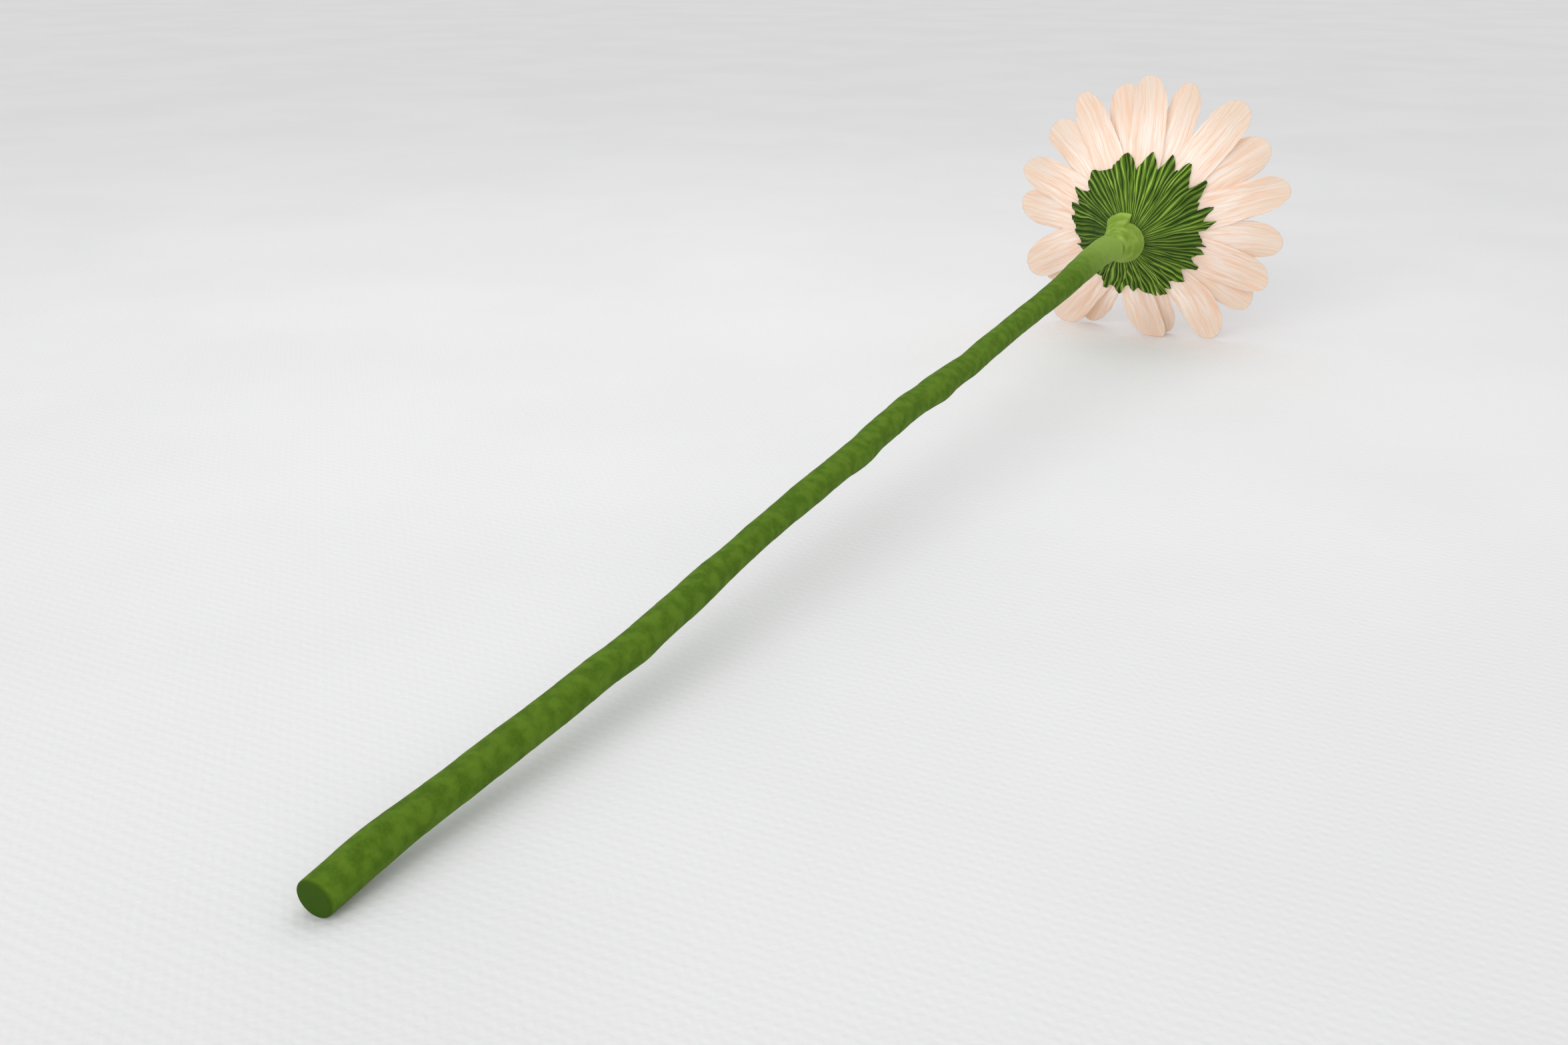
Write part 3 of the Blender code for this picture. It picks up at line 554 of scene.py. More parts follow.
def calyx_sheet(sizes):
    """The pleated calyx as a grid: columns follow the pleats, rows run from root to cut edge.

    Columns are the steps of each pleat, with the pleats of uneven width, and every corner of
    the cut edge. A column wanders sideways towards the root by three noises. Across a pleat
    the surface follows |sin| to a power, so ridges are round and grooves sharp; the ridge
    sways from side to side, and its depth grows with the radius and differs from pleat to
    pleat and along each one. Near the edge the teeth bend with the square of the distance
    past a radius, by a broad noise, and two small noises crease the whole.
    """
    rim_at = np.array([corner[0] for corner in CALYX_RIM])
    rim_radius = np.array([corner[1] for corner in CALYX_RIM])
    draw = np.random.default_rng(PLEAT_SEED)
    widths = draw.uniform(*PLEAT_WIDTHS, sizes.pleats)
    marks = CALYX_START + np.concatenate(([0.0], np.cumsum(widths))) * 360.0 / widths.sum()
    steps = np.arange(sizes.pleats * PLEAT_STEPS) / PLEAT_STEPS
    fine = np.interp(steps, np.arange(len(marks)), marks)
    at = np.unique(np.round(np.concatenate((fine, rim_at)), 4))
    phase = np.interp(at, marks, np.arange(len(marks)))[None, :]
    closed_at = np.append(rim_at, CALYX_START + 360.0)
    closed_radius = np.append(rim_radius, rim_radius[0])
    rim = np.interp(at, closed_at, closed_radius)[None, :]
    row = np.linspace(0.0, 1.0, CALYX_ROWS + 1)[:, None]
    radius = ROOT_RADIUS + (rim - ROOT_RADIUS) * (1.0 - (1.0 - row) ** CALYX_ROW_POWER)
    angle = np.radians(at)[None, :]
    ring_x = CALYX_NOISE_RADIUS * np.cos(angle)
    ring_y = CALYX_NOISE_RADIUS * np.sin(angle)
    inward = 1.0 - row
    wander = sum(
        degrees * noise(ring_x * rate + shift, ring_y * rate + radius / length)
        for degrees, rate, shift, length in CALYX_WANDER
    )
    azimuth = at[None, :] + wander * ease(inward, 0.0, 0.4) + CALYX_SWIRL_DEG * inward**2
    pitch = 2.0 * math.pi * radius / sizes.pleats
    number = np.floor(phase)
    split = number * 2.0 * math.pi / sizes.pleats
    turn_x = PLEAT_NOISE_RADIUS * np.cos(split)
    turn_z = PLEAT_NOISE_RADIUS * np.sin(split)
    sway = 0.5 + PLEAT_SWAY * noise(turn_x + 5.0, turn_z + radius / 4.0)
    inside = phase - number
    rising = 0.5 * inside / sway
    falling = 0.5 + 0.5 * (inside - sway) / (1.0 - sway)
    skewed = np.where(inside < sway, rising, falling)
    ridge = np.abs(np.sin(math.pi * skewed)) ** PLEAT_POWER
    size = 1.0 + PLEAT_VARIATION * noise(turn_x + 60.0, turn_z + radius / 7.0)
    depth = sizes.pleat_depth * size * pitch * ease(radius, ROOT_RADIUS, 7.5)
    beyond = np.maximum(0.0, (radius - CALYX_BEND_RADIUS) / CALYX_BEND_REACH)
    bend = noise(ring_x * 0.55 + 3.0, ring_y * 0.55 + 8.0) * beyond**2
    sag = CALYX_SAG * ease(radius, *CALYX_SAG_RADII)
    crease = 0.11 * noise(phase * 4.3, radius / 5.1) + 0.05 * noise(phase * 9.0, radius / 2.2)
    along = flare(radius) + sag - depth * (ridge - 0.5) - CALYX_BEND * bend
    along = along + crease * ease(radius, 7.0, 12.0)
    points = on_head(azimuth, radius, along)
    plan = np.stack((phase * 1.3 + 0.0 * radius, radius), axis=-1)
    # Darker towards the left and right sides of the calyx, more on the left; added to its random tone.
    toned = np.where(np.sin(angle) < 0.0, 1.5, 0.9)
    # The pleat's height goes to the finish, which paints shade in the grooves and a highlight on the
    # crests.
    fields = {
        "pleat": ridge + 0.0 * radius,
        "shade": noise(turn_x + 90.0, turn_z + radius / 9.0) + toned * np.sin(angle) ** 2,
    }
    return points, grid_faces(*radius.shape, closed=True), plan, fields


def stem_line():
    """Stations of the stem: distance along its path, centre and radius of each."""
    run = HEAD_CENTRE - CUT_END
    length = np.linalg.norm(run)
    shares = np.array(STATION_SHARES)
    centres = CUT_END + run * shares[:, None]
    centres = centres + BEND_DIRECTION * np.interp(shares, STEM_SHARES, STEM_OFFSETS)[:, None]
    neck = [(NECK_SHIFT[0], along, NECK_SHIFT[1]) for along in NECK_STATIONS]
    centres = np.concatenate((centres, np.array(neck) @ AXES.T + HEAD_CENTRE))
    steps = np.linalg.norm(np.diff(centres, axis=0), axis=1)
    path = np.concatenate(([0.0], np.cumsum(steps)))
    to_head = np.linalg.norm(HEAD_CENTRE - centres, axis=1)
    plain = np.interp(1.0 - to_head / length, STEM_SHARES, STEM_RADII)
    radii = plain + (NECK_RADIUS - plain) * bell(to_head / NECK_REACH)
    return path, centres, radii


def head_path():
    """How far along the stem's path the head's centre is: past the first of the neck's stations."""
    return stem_line()[0][-len(NECK_STATIONS)] - NECK_STATIONS[0]


def round_stem(path, angle, radius):
    """Points round the stem's line: a distance along it, an angle from its top, a radius."""
    knots, centres, _ = stem_line()
    centre = smooth_through(path, knots, centres)
    ahead = smooth_through(np.clip(path + 0.5, 0.0, knots[-1]), knots, centres)
    back = smooth_through(np.clip(path - 0.5, 0.0, knots[-1]), knots, centres)
    along = ahead - back
    along = along / np.linalg.norm(along, axis=-1, keepdims=True)
    side = np.cross(along, UP)
    side = side / np.linalg.norm(side, axis=-1, keepdims=True)
    top = np.cross(side, along)
    turn = side * np.sin(angle)[..., None] + top * np.cos(angle)[..., None]
    return centre + turn * radius[..., None]


def stem_lumps(path):
    """Each lump is a bell along the stem that pushes its line aside and swells it."""
    along = path / np.linalg.norm(HEAD_CENTRE - CUT_END)
    share, push, swelling, reach = np.array(STEM_LUMPS).T
    bells = bell((along[..., None] - share) / reach)
    return bells @ push, bells @ swelling


def first_row_twice(rows):
    """The rows of a grid with a first one added for the middle of the cut end."""
    return np.concatenate((rows[:1], rows))


def stem_sheet(sizes):
    """The wound tape of the stem as a tube: columns round it, rows along it.

    The radius is the stem's own plus low lumps, plus a step where each turn of tape laps over
    the one before, on a helix. The first rows round off the cut end, and the last row follows
    the curved end of the tape on the neck, where it turns down onto the collar's tape.
    """
    knots, _, radii = stem_line()
    neck_at = head_path()
    angle = np.linspace(-math.pi, math.pi, STEM_COLUMNS)[None, :]
    turned = (np.degrees(angle) + 180.0) % 360.0 - 180.0
    edge = neck_at + np.interp(turned, *np.array(NECK_EDGE).T)
    tail = edge.min() - TAPE_END_REACH
    corner = np.linspace(0.0, 1.0, CUT_CORNER_ROWS)
    start = np.concatenate((np.zeros(CUT_FACE_ROWS), corner))[:, None]
    face = np.concatenate((np.linspace(0.001, 1.0, CUT_FACE_ROWS), 1.0 + 0.0 * corner))[:, None]
    body = np.arange(0.9, tail, STEM_ROW_STEP)[:, None] + 0.0 * angle
    last = tail + (edge - tail) * np.linspace(0.0, 1.0, TAPE_END_ROWS)[:, None]
    cap = CUT_ROUNDING * (1.0 - np.cos(start * math.pi / 2.0)) + 0.02
    path = np.concatenate((cap + 0.0 * angle, body, last))
    radius = smooth_through(path, knots, radii)
    lump = round_and_back(lambda a: 0.16 * noise(path / 21.0, a / 1.6 + 4.0), angle)
    lump = lump + round_and_back(lambda a: 0.10 * noise(path / 7.0 + 30.0, a * 1.1), angle)
    turns = path / sizes.tape_step - angle / (2.0 * math.pi)
    lap = (turns + 0.25 * noise(path / 33.0, path * 0.0)) % 1.0
    step = sizes.tape_lap * (ease(lap, 0.0, 0.05) - lap)
    drawn = round_and_back(
        lambda a: crepe_height(a * STEM_PLAN_RADIUS, path + 8.0 * a, 2.6), angle
    )
    _, swelling = stem_lumps(path)
    fade = ease(path, 1.0, 5.0)
    radius = radius + fade * (lump + step + TAPE_CREPE * drawn) - TAPE_INSET + swelling
    sunk = CUT_ROUNDING * (1.0 - np.sin(start * math.pi / 2.0))
    radius[: len(face)] = (radius[: len(face)] - sunk) * face
    radius = radius + TAPE_END_RISE * ease(path - edge, -1.5, 0.0)
    # Two more rows turn the tape's end down onto the collar's tape.
    radius = np.concatenate((radius, radius[-1:] - 0.28, radius[-1:] - 0.5))
    path = np.concatenate((path, path[-1:] + 0.06, path[-1:] - 0.8))
    lap = np.concatenate((lap, lap[-1:], lap[-1:]))
    push, _ = stem_lumps(path)
    angle = angle + 0.0 * path
    points = round_stem(path, angle, radius) + push[..., None] * BEND_DIRECTION
    points[..., 2] = np.maximum(points[..., 2], FLOOR_GAP)
    points[:, -1] = points[:, 0]
    # A first row drawn in to its middle closes the cut end.
    middle = points[0].mean(axis=0)
    points = np.concatenate((middle + (points[:1] - middle) * 0.0001, points))
    plan = first_row_twice(np.stack((angle * STEM_PLAN_RADIUS, path), axis=-1))
    fields = {
        "lap": first_row_twice(lap),
        "neck": first_row_twice(ease(path, neck_at - NECK_FADE[0], neck_at - NECK_FADE[1])),
        "cut": first_row_twice(1.0 - ease(path, 0.02, 0.9)),
    }
    return points, grid_faces(*points.shape[:2]), plan, fields


def flap_share(angle):
    """Where the loose end is, from 0 to 1, round the disc: it fades in on the left and stops
    at a torn end on the right; and how far its outline lies from the disc's middle."""
    outline = np.array(FLAP_OUTLINE)
    turned = np.radians(outline[:, 0])
    x = outline[:, 1] * np.sin(turned) - COLLAR_SHIFT[0]
    z = outline[:, 1] * np.cos(turned) - COLLAR_SHIFT[1]
    around = np.degrees(np.arctan2(x, z))
    degrees = np.degrees(angle)
    reach = np.interp(degrees, around, np.hypot(x, z))
    torn = around[-1] + 1.2 * noise(degrees * 0.0, reach * 0.0 + 3.0)
    return ease(degrees, around[0] - 26.0, around[0] + 12.0) * (degrees < torn), reach


def collar_sheet():
    """The collar's tape as a turned form: rows from under the stem's tape, over the neck and
    out to the disc's edge, then back on its front; columns go round.

    Its centre moves from the neck's to the disc's own. Low rings stand for the edges of the
    turns of tape, a bell-shaped fold stands up beside the neck with two creases at its foot
    whose shade is painted in, and over a third of the way round the disc's edge is drawn out
    to the outline of the tape's loose end on the calyx.
    """
    share, rows = along_profile(COLLAR_PROFILE, COLLAR_ROWS)
    angle = np.linspace(-math.pi, math.pi, COLLAR_COLUMNS)[None, :]
    along, radius, move, seat = rows[..., None] + 0.0 * angle
    move = np.clip(move, 0.0, 1.0)
    seat = np.clip(seat, 0.0, 1.0)
    shown = 1.0 - seat
    swing = np.sin(angle + 0.6)
    ring = noise(along / 1.1 + 0.5 * swing, angle * 0.0 + 5.0)
    ring = 0.6 * ring + 0.4 * noise(radius / 0.45 + 0.4 * swing, angle * 0.0 + 8.0)
    crepe = round_and_back(lambda a: crepe_height(a * COLLAR_PLAN_RADIUS, along, 4.4), angle)
    radius = radius + shown * (0.10 * ring + 0.05 * crepe)
    degrees = np.degrees(angle)
    # Each mark raises or sinks the tape, and the two creases gather painted shade in the crease field.
    relief = 0.0
    crease = 0.0
    for middle, place, breadth, length, slope, rise, dark in COLLAR_MARKS:
        turned = degrees - middle
        mark = bell(turned / breadth, (along - place - slope * turned) / length)
        relief = relief + rise * mark
        crease = crease + dark * mark
    radius = radius + shown * relief
    tape_end = np.interp(degrees, *np.array(NECK_EDGE).T)
    radius = radius - 0.4 * ease(tape_end - along, -0.1, 0.9)
    flap, reach = flap_share(angle)
    drawn = flap * (ease(share, 4.2, 9.0) * (1.0 - ease(share, 10.2, 11.6)))[:, None]
    radius = radius + drawn * (reach - COLLAR_RIM_RADIUS)
    x = radius * np.sin(angle) + NECK_SHIFT[0] + (COLLAR_SHIFT[0] - NECK_SHIFT[0]) * move
    z = radius * np.cos(angle) + NECK_SHIFT[1] + (COLLAR_SHIFT[1] - NECK_SHIFT[1]) * move
    seated = np.minimum(flare(np.hypot(x, z)) - COLLAR_SEAT, 3.6)
    along = along * shown + seated * seat
    along = along + drawn * shown * 0.85 * (seated - along)
    back = ease(-along, 10.5, 13.0)[..., None]
    on_disc = np.stack((x, along, z), axis=-1) @ AXES.T + HEAD_CENTRE
    on_neck = round_stem(head_path() + np.minimum(along, -4.0), angle + 0.0 * along, radius)
    points = on_disc * (1.0 - back) + on_neck * back
    points[:, -1] = points[:, 0]
    plan = np.stack((angle * COLLAR_PLAN_RADIUS + 0.0 * along, along), axis=-1)
    # crease is the painted shade of the two creases beside the neck.
    fields = {"ring": ring * shown, "crease": np.minimum(crease, 1.0) * shown}
    return points, grid_faces(*along.shape), plan, fields


def fringe_sheet(sizes):
    """Two rings of narrow blades on one band: a blade narrows and curves in over the centre.

    Along a blade the radius grows evenly and the distance along the axis by a quarter sine.
    Each blade has its own small reach, twist and curl.
    """
    blades = sizes.fringe_blades
    parts = []
    draw = np.random.default_rng(FRINGE_SEED)
    out = np.linspace(0.0, 1.0, BLADE_GRID[0])[None, :, None]
    side = np.linspace(-1.0, 1.0, BLADE_GRID[1])[None, None, :]
    for ring, (reach, top, turn) in enumerate(FRINGE_RINGS):
        own = draw.uniform(-1.0, 1.0, (5, blades, 1, 1))
        middle = (np.arange(blades)[:, None, None] + 0.5 + turn) * 360.0 / blades
        radius = FRINGE_FOOT + (reach * (1.0 + 0.025 * own[0] - 0.025) - FRINGE_FOOT) * out
        base = flare(FRINGE_FOOT) + 3.0 * LAYER_STEP + 0.25 * ring
        height = (top + 0.4 * own[1] - 0.4 - base) * np.sin(out * math.pi / 2.0)
        half = 180.0 / blades * 0.88 * FRINGE_FOOT / radius * (1.0 - 0.55 * out**2.5)
        place = middle + half * side + 3.5 * own[2] * out**2
        along = base + height + 0.18 * side**2 * out + 0.25 * own[3] * side * out
        along = along + 0.05 * noise(side * 3.0 + 9.0 * own[4], radius / 6.0)
        points = on_head(place + 0.0 * along, radius + 0.0 * along, along)
        plan = np.stack((side * 0.6 + middle + 0.0 * along, radius + 0.0 * along), axis=-1)
        fields = {"station": out + 0.0 * along, "shade": own[4] + 0.0 * along}
        parts.append((points, grid_faces(*BLADE_GRID, copies=blades), plan, fields))
    around = np.linspace(0.0, 360.0, BAND_GRID[1], endpoint=False)[None, :]
    radius = np.linspace(ROOT_RADIUS, FRINGE_BAND_RADIUS, BAND_GRID[0])[:, None] + 0.0 * around
    points = on_head(around + 0.0 * radius, radius, flare(radius) + 3.0 * LAYER_STEP)
    plan = np.stack((around + 0.0 * radius, radius), axis=-1)
    fields = {"station": 0.0 * radius, "shade": 0.0 * radius}
    return parts + [(points, grid_faces(*BAND_GRID, closed=True), plan, fields)]


def centre_forms(sizes):
    """The rolled centre: a turned body, and tufts in a sunflower spiral over its top.

    The body's profile is a radius at each distance along the axis, cut in where its blades
    part. A tuft is a six-sided blade that narrows and leans outward, and stands at the golden
    angle times its number and at a radius that grows with the square root of its number.
    """
    _, rows = along_profile(CENTRE_PROFILE, CENTRE_GRID[0])
    angle = np.linspace(0.0, 360.0, CENTRE_GRID[1], endpoint=False)[None, :]
    along, radius = rows[..., None] + 0.0 * angle
    radius = np.maximum(radius, 0.0)
    cut = 0.10 * np.abs(np.sin(np.radians(angle) * 18.0))
    cut = cut * ease(along, 9.0, 12.0) * ease(radius, 1.0, 4.0)
    points = on_head(angle + 0.0 * radius, radius - cut, along)
    plan = np.stack((angle / 10.0 + 0.0 * radius, along), axis=-1)
    fields = {"station": 0.0 * radius, "shade": 0.0 * radius}
    body = (points, grid_faces(*CENTRE_GRID, closed=True), plan, fields)
    count = sizes.tufts
    number = np.arange(count)[:, None, None]
    draw = np.random.default_rng(TUFT_SEED)
    own = draw.uniform(-1.0, 1.0, (4, count, 1, 1))
    at = TUFT_REACH * np.sqrt((number + 0.5) / count)
    spin = number * math.pi * (3.0 - math.sqrt(5.0))
    top = np.interp(at, CENTRE_TOP_RADII, CENTRE_TOP)
    out = np.linspace(0.0, 1.0, TUFT_GRID[0])[None, :, None]
    corner = np.arange(TUFT_GRID[1])[None, None, :] * math.pi / 3.0
    rise = top - 1.4 + (2.9 + 0.35 * own[0]) * out
    half = (0.42 + 0.05 * own[1]) * np.sqrt(np.clip(1.0 - 0.75 * out**2, 0.0, 1.0)) * (out < 0.99)
    lean = 0.5 * out**2 * at / 7.0
    x = (at + lean) * np.sin(spin) + half * np.cos(corner + 3.0 * own[2]) + 0.3 * own[3] * out
    z = (at + lean) * np.cos(spin) + half * np.sin(corner + 3.0 * own[2])
    rise = np.minimum(rise, TUFT_LIMIT) + 0.0 * x
    points = np.stack((x, rise, z), axis=-1) @ AXES.T + HEAD_CENTRE
    plan = np.stack((x, z), axis=-1)
    fields = {"station": out + 0.0 * x, "shade": own[0] + 0.0 * x}
    return [body, (points, grid_faces(*TUFT_GRID, closed=True, copies=count), plan, fields)]


# Finishes


def add_node(tree, kind, inputs=(), **settings):
    """A node with its settings, and its inputs given as values or as outputs to link."""
    made = tree.nodes.new(kind)
    for key, value in settings.items():
        setattr(made, key, value)
    for key, value in dict(inputs).items():
        socket = made.inputs[key]
        if isinstance(value, bpy.types.NodeSocket):
            tree.links.new(value, socket)
        elif socket.type == "RGBA":
            socket.default_value = (*value[:3], 1.0)
        else:
            socket.default_value = value
    return made


def painted(tree, base, *coats):
    """A colour with coats laid over it in turn, each given as its share and its own colour."""
    for share, colour in coats:
        inputs = {0: share, 6: base, 7: colour}
        coat = add_node(tree, "ShaderNodeMix", inputs, data_type="RGBA", clamp_factor=True)
        base = coat.outputs[2]
    return base


def ranged(tree, value, low, high, to_low=0.0, to_high=1.0):
    """A value carried from one range to another, and held inside it."""
    inputs = {"Value": value, "From Min": low, "From Max": high, "To Min": to_low, "To Max": to_high}
    return add_node(tree, "ShaderNodeMapRange", inputs, interpolation_type="SMOOTHSTEP").outputs[0]


def calculated(tree, operation, first, second):
    """One step of arithmetic on two values or outputs."""
    node = add_node(tree, "ShaderNodeMath", {0: first, 1: second}, operation=operation)
    return node.outputs[0]


def scaled(tree, value, share):
    return calculated(tree, "MULTIPLY", value, share)


def vector_of(tree, operation, first, second):
    node = add_node(tree, "ShaderNodeVectorMath", {0: first, 1: second}, operation=operation)
    return node.outputs[0]


def noise_of(tree, place, scale, detail):
    inputs = {"Vector": place, "Scale": scale, "Detail": detail}
    return add_node(tree, "ShaderNodeTexNoise", inputs).outputs[0]


def field(tree, name):
    """A field that the mesh carries for each of its points."""
    return add_node(tree, "ShaderNodeAttribute", attribute_name=name).outputs["Fac"]


def new_group(name, outputs, **numbers):
    """A shader node group that reads a place and some numbers, and its two end nodes."""
    group = bpy.data.node_groups.new(name, "ShaderNodeTree")
    group.interface.new_socket("Place", in_out="INPUT", socket_type="NodeSocketVector")
    for label, value in numbers.items():
        socket = group.interface.new_socket(label, in_out="INPUT", socket_type="NodeSocketFloat")
        socket.default_value = value
    for label in outputs:
        group.interface.new_socket(label, in_out="OUTPUT", socket_type="NodeSocketFloat")
    return group, group.nodes.new("NodeGroupInput"), group.nodes.new("NodeGroupOutput")


def crepe_lines_group(name):
    """Fine lines along the paper's grain: a noise stretched lengthwise, read where a slow one
    pushes it, and folded at several of its levels so that the lines run, split and join."""
    outputs = ("Streak", "Line", "Height")
    group, start, end = new_group(name, outputs, Across=1.0, Along=0.1, Wander=0.5)
    place, across, along, wander = start.outputs[:4]
    push = noise_of(group, vector_of(group, "MULTIPLY", place, (0.28, 0.11, 1.0)), 1.0, 2.0)
    shift = scaled(group, calculated(group, "SUBTRACT", push, 0.5), wander)
    aside = add_node(group, "ShaderNodeCombineXYZ", {"X": shift}).outputs[0]
    rate = add_node(group, "ShaderNodeCombineXYZ", {"X": across, "Y": along, "Z": 1.0}).outputs[0]
    drawn = vector_of(group, "MULTIPLY", vector_of(group, "ADD", place, aside), rate)
    coarse = noise_of(group, drawn, 1.0, 1.5)
    fine = noise_of(group, drawn, 2.7, 3.0)
    steps = calculated(group, "ADD", scaled(group, coarse, 5.0), scaled(group, fine, 0.7))
    fold = scaled(group, calculated(group, "PINGPONG", steps, 0.5), 2.0)
    height = calculated(group, "ADD", scaled(group, fold, 0.65), scaled(group, fine, 0.35))
    group.links.new(ranged(group, coarse, 0.36, 0.64), end.inputs["Streak"])
    group.links.new(ranged(group, fold, 0.35, 1.0), end.inputs["Line"])
    group.links.new(height, end.inputs["Height"])
    return group


def paper_mottle_group(name):
    """Cloudy patches and fine fibres of unevenly dyed paper, each from its own noise."""
    group, start, end = new_group(name, ("Patch", "Fibre"), Patches=300.0, Fibres=3000.0)
    place, patches, fibres = start.outputs[:3]
    patch = ranged(group, noise_of(group, place, patches, 3.0), 0.33, 0.67)
    fibre = ranged(group, noise_of(group, place, fibres, 3.0), 0.3, 0.7)
    group.links.new(patch, end.inputs["Patch"])
    group.links.new(fibre, end.inputs["Fibre"])
    return group


def grouped(tree, maker, name, **inputs):
    """The outputs of a group node with its own inputs; the group itself is made once."""
    group = bpy.data.node_groups.get(name) or maker(name)
    return add_node(tree, "ShaderNodeGroup", inputs, node_tree=group).outputs


def crepe_lines(tree, across, along, wander):
    """Lines on the flat paper: how many to a millimetre across and along, and their wander."""
    paper = add_node(tree, "ShaderNodeUVMap", uv_map="paper").outputs[0]
    inputs = {"Place": paper, "Across": across, "Along": along, "Wander": wander}
    return grouped(tree, crepe_lines_group, "crepe lines", **inputs)


def paper_mottle(tree, patches, fibres):
    """Mottle in the object's own space: how many patches and fibres to a metre."""
    place = add_node(tree, "ShaderNodeTexCoord").outputs["Object"]
    inputs = {"Place": place, "Patches": patches, "Fibres": fibres}
    return grouped(tree, paper_mottle_group, "paper mottle", **inputs)


def with_fibres(tree, height, mottle, share):
    """A height for the bump with a share of the mottle's fibres added."""
    return calculated(tree, "ADD", height, scaled(tree, mottle["Fibre"], share))


def new_finish(name, roughness, specular=0.5, **constants):
    """A material, with the constants of its shader set on the shader's own sockets."""
    finish = bpy.data.materials.new(name)
    finish.use_nodes = True
    shader = finish.node_tree.nodes["Principled BSDF"]
    shader.inputs["Roughness"].default_value = roughness
    shader.inputs["Specular IOR Level"].default_value = specular
    for label, value in constants.items():
        shader.inputs[label.replace("_", " ")].default_value = value
    return finish, finish.node_tree


def dressed(finish, base, height, distance, strength, glow=None, share=0.0):
    """Gives a finish its colour, a bump whose distance is in mm and, where thin paper lets
    light through, a translucent glow that takes its share."""
    tree = finish.node_tree
    shader = tree.nodes["Principled BSDF"]
    inputs = {"Height": height, "Distance": distance * MM, "Strength": strength}
    normal = add_node(tree, "ShaderNodeBump", inputs).outputs[0]
    tree.links.new(base, shader.inputs["Base Color"])
    tree.links.new(normal, shader.inputs["Normal"])
    if glow is not None:
        through = add_node(tree, "ShaderNodeBsdfTranslucent", {"Color": glow, "Normal": normal})
        inputs = {0: share, 1: shader.outputs[0], 2: through.outputs[0]}
        both = add_node(tree, "ShaderNodeMixShader", inputs).outputs[0]
        tree.links.new(both, tree.nodes["Material Output"].inputs["Surface"])
    return finish


def petal_finish(colours):
    """Crepe of the petals: cream and peach streaks, dyed lines, crinkle valleys darkened partly as
    painted shade, tan tips, a warm root.
    """
    finish, tree = new_finish("petal crepe", 0.78, 0.25, Sheen_Weight=0.08)
    wide = crepe_lines(tree, 0.5, 0.018, 2.0)
    thin = crepe_lines(tree, 0.75, 0.030, 1.8)
    station = field(tree, "station")
    toned = ranged(tree, station, 0.2, 0.6, 0.28, 0.5)
    base = painted(
        tree, colours.petal_cream,
        (scaled(tree, wide["Streak"], 0.35), colours.petal_peach),
        (scaled(tree, thin["Streak"], 0.55), colours.petal_milk),
        (scaled(tree, thin["Line"], 0.32), colours.petal_deep_and_valley_shade),
        # Crinkle valleys darkened: partly the paper's deeper tone there, partly painted shade of the
        # crinkles.
        (ranged(tree, field(tree, "crinkle"), -0.40, 0.10, 0.38, 0.0), colours.petal_deep_and_valley_shade),
        (ranged(tree, station, 0.40, 0.95, 0.0, 0.7), colours.petal_tan),
        (ranged(tree, station, 0.62, 0.12, 0.0, 0.6), colours.petal_root),
        (ranged(tree, field(tree, "shade"), -1.0, 1.0, 0.0, 0.22), colours.petal_peach),
        (scaled(tree, ranged(tree, wide["Line"], 0.25, 0.85), toned), colours.petal_line),
    )
    glow = painted(tree, base, (0.22, colours.petal_glow))
    return dressed(finish, base, thin["Height"], 0.07, 0.7, glow, 0.5)


def calyx_finish(colours):
    """Deep green crepe: fine lines along the pleats, painted highlights on ridges, painted shade in
    grooves.
    """
    finish, tree = new_finish("calyx crepe", 0.85, 0.2)
    lines = crepe_lines(tree, 2.2, 0.09, 0.6)
    pleat = field(tree, "pleat")
    # The crests of the pleats, where a highlight is painted.
    crest_highlight = ranged(tree, pleat, 0.84, 0.99)
    # From painted shade in the grooves to the green of the flanks by the pleat's height, then the lines,
    # the painted highlight on the crests and the darker sides.
    base = painted(
        tree, colours.calyx_dark_and_groove_shade,
        (ranged(tree, pleat, 0.10, 0.74), colours.calyx_leaf),
        (scaled(tree, lines["Line"], 0.4), colours.calyx_dark_and_groove_shade),
        (scaled(tree, crest_highlight, ranged(tree, lines["Streak"], 0.0, 1.0, 0.35, 1.0)), colours.calyx_ridge_highlight),
        # Darker where the shade field is high: random tone, and the calyx's left and right sides.
        (ranged(tree, field(tree, "shade"), -0.8, 2.0, 0.0, 0.65), colours.calyx_dark_and_groove_shade),
    )
    return dressed(finish, base, lines["Height"], 0.16, 1.0)


def stem_finish(colours):
    """Waxy floral tape: mottled green, darker at the cut end, paler and yellower at the neck."""
    finish, tree = new_finish("stem tape", 0.8, 0.12)
    lines = crepe_lines(tree, 1.1, 0.22, 1.5)
    mottle = paper_mottle(tree, 330.0, 1900.0)
    neck = field(tree, "neck")
    lap = ranged(tree, field(tree, "lap"), 0.75, 1.0, 0.0, 0.35)
    base = painted(
        tree, colours.stem_dark_and_crease_shade,
        (mottle["Patch"], colours.stem_light),
        (scaled(tree, mottle["Fibre"], 0.35), colours.stem_light),
        (scaled(tree, neck, 0.75), colours.neck_green),
        (scaled(tree, lap, ranged(tree, neck, 0.6, 0.0)), colours.stem_dark_and_crease_shade),
        (field(tree, "cut"), colours.cut_dark),
    )
    return dressed(finish, base, with_fibres(tree, lines["Streak"], mottle, 0.8), 0.045, 0.6)


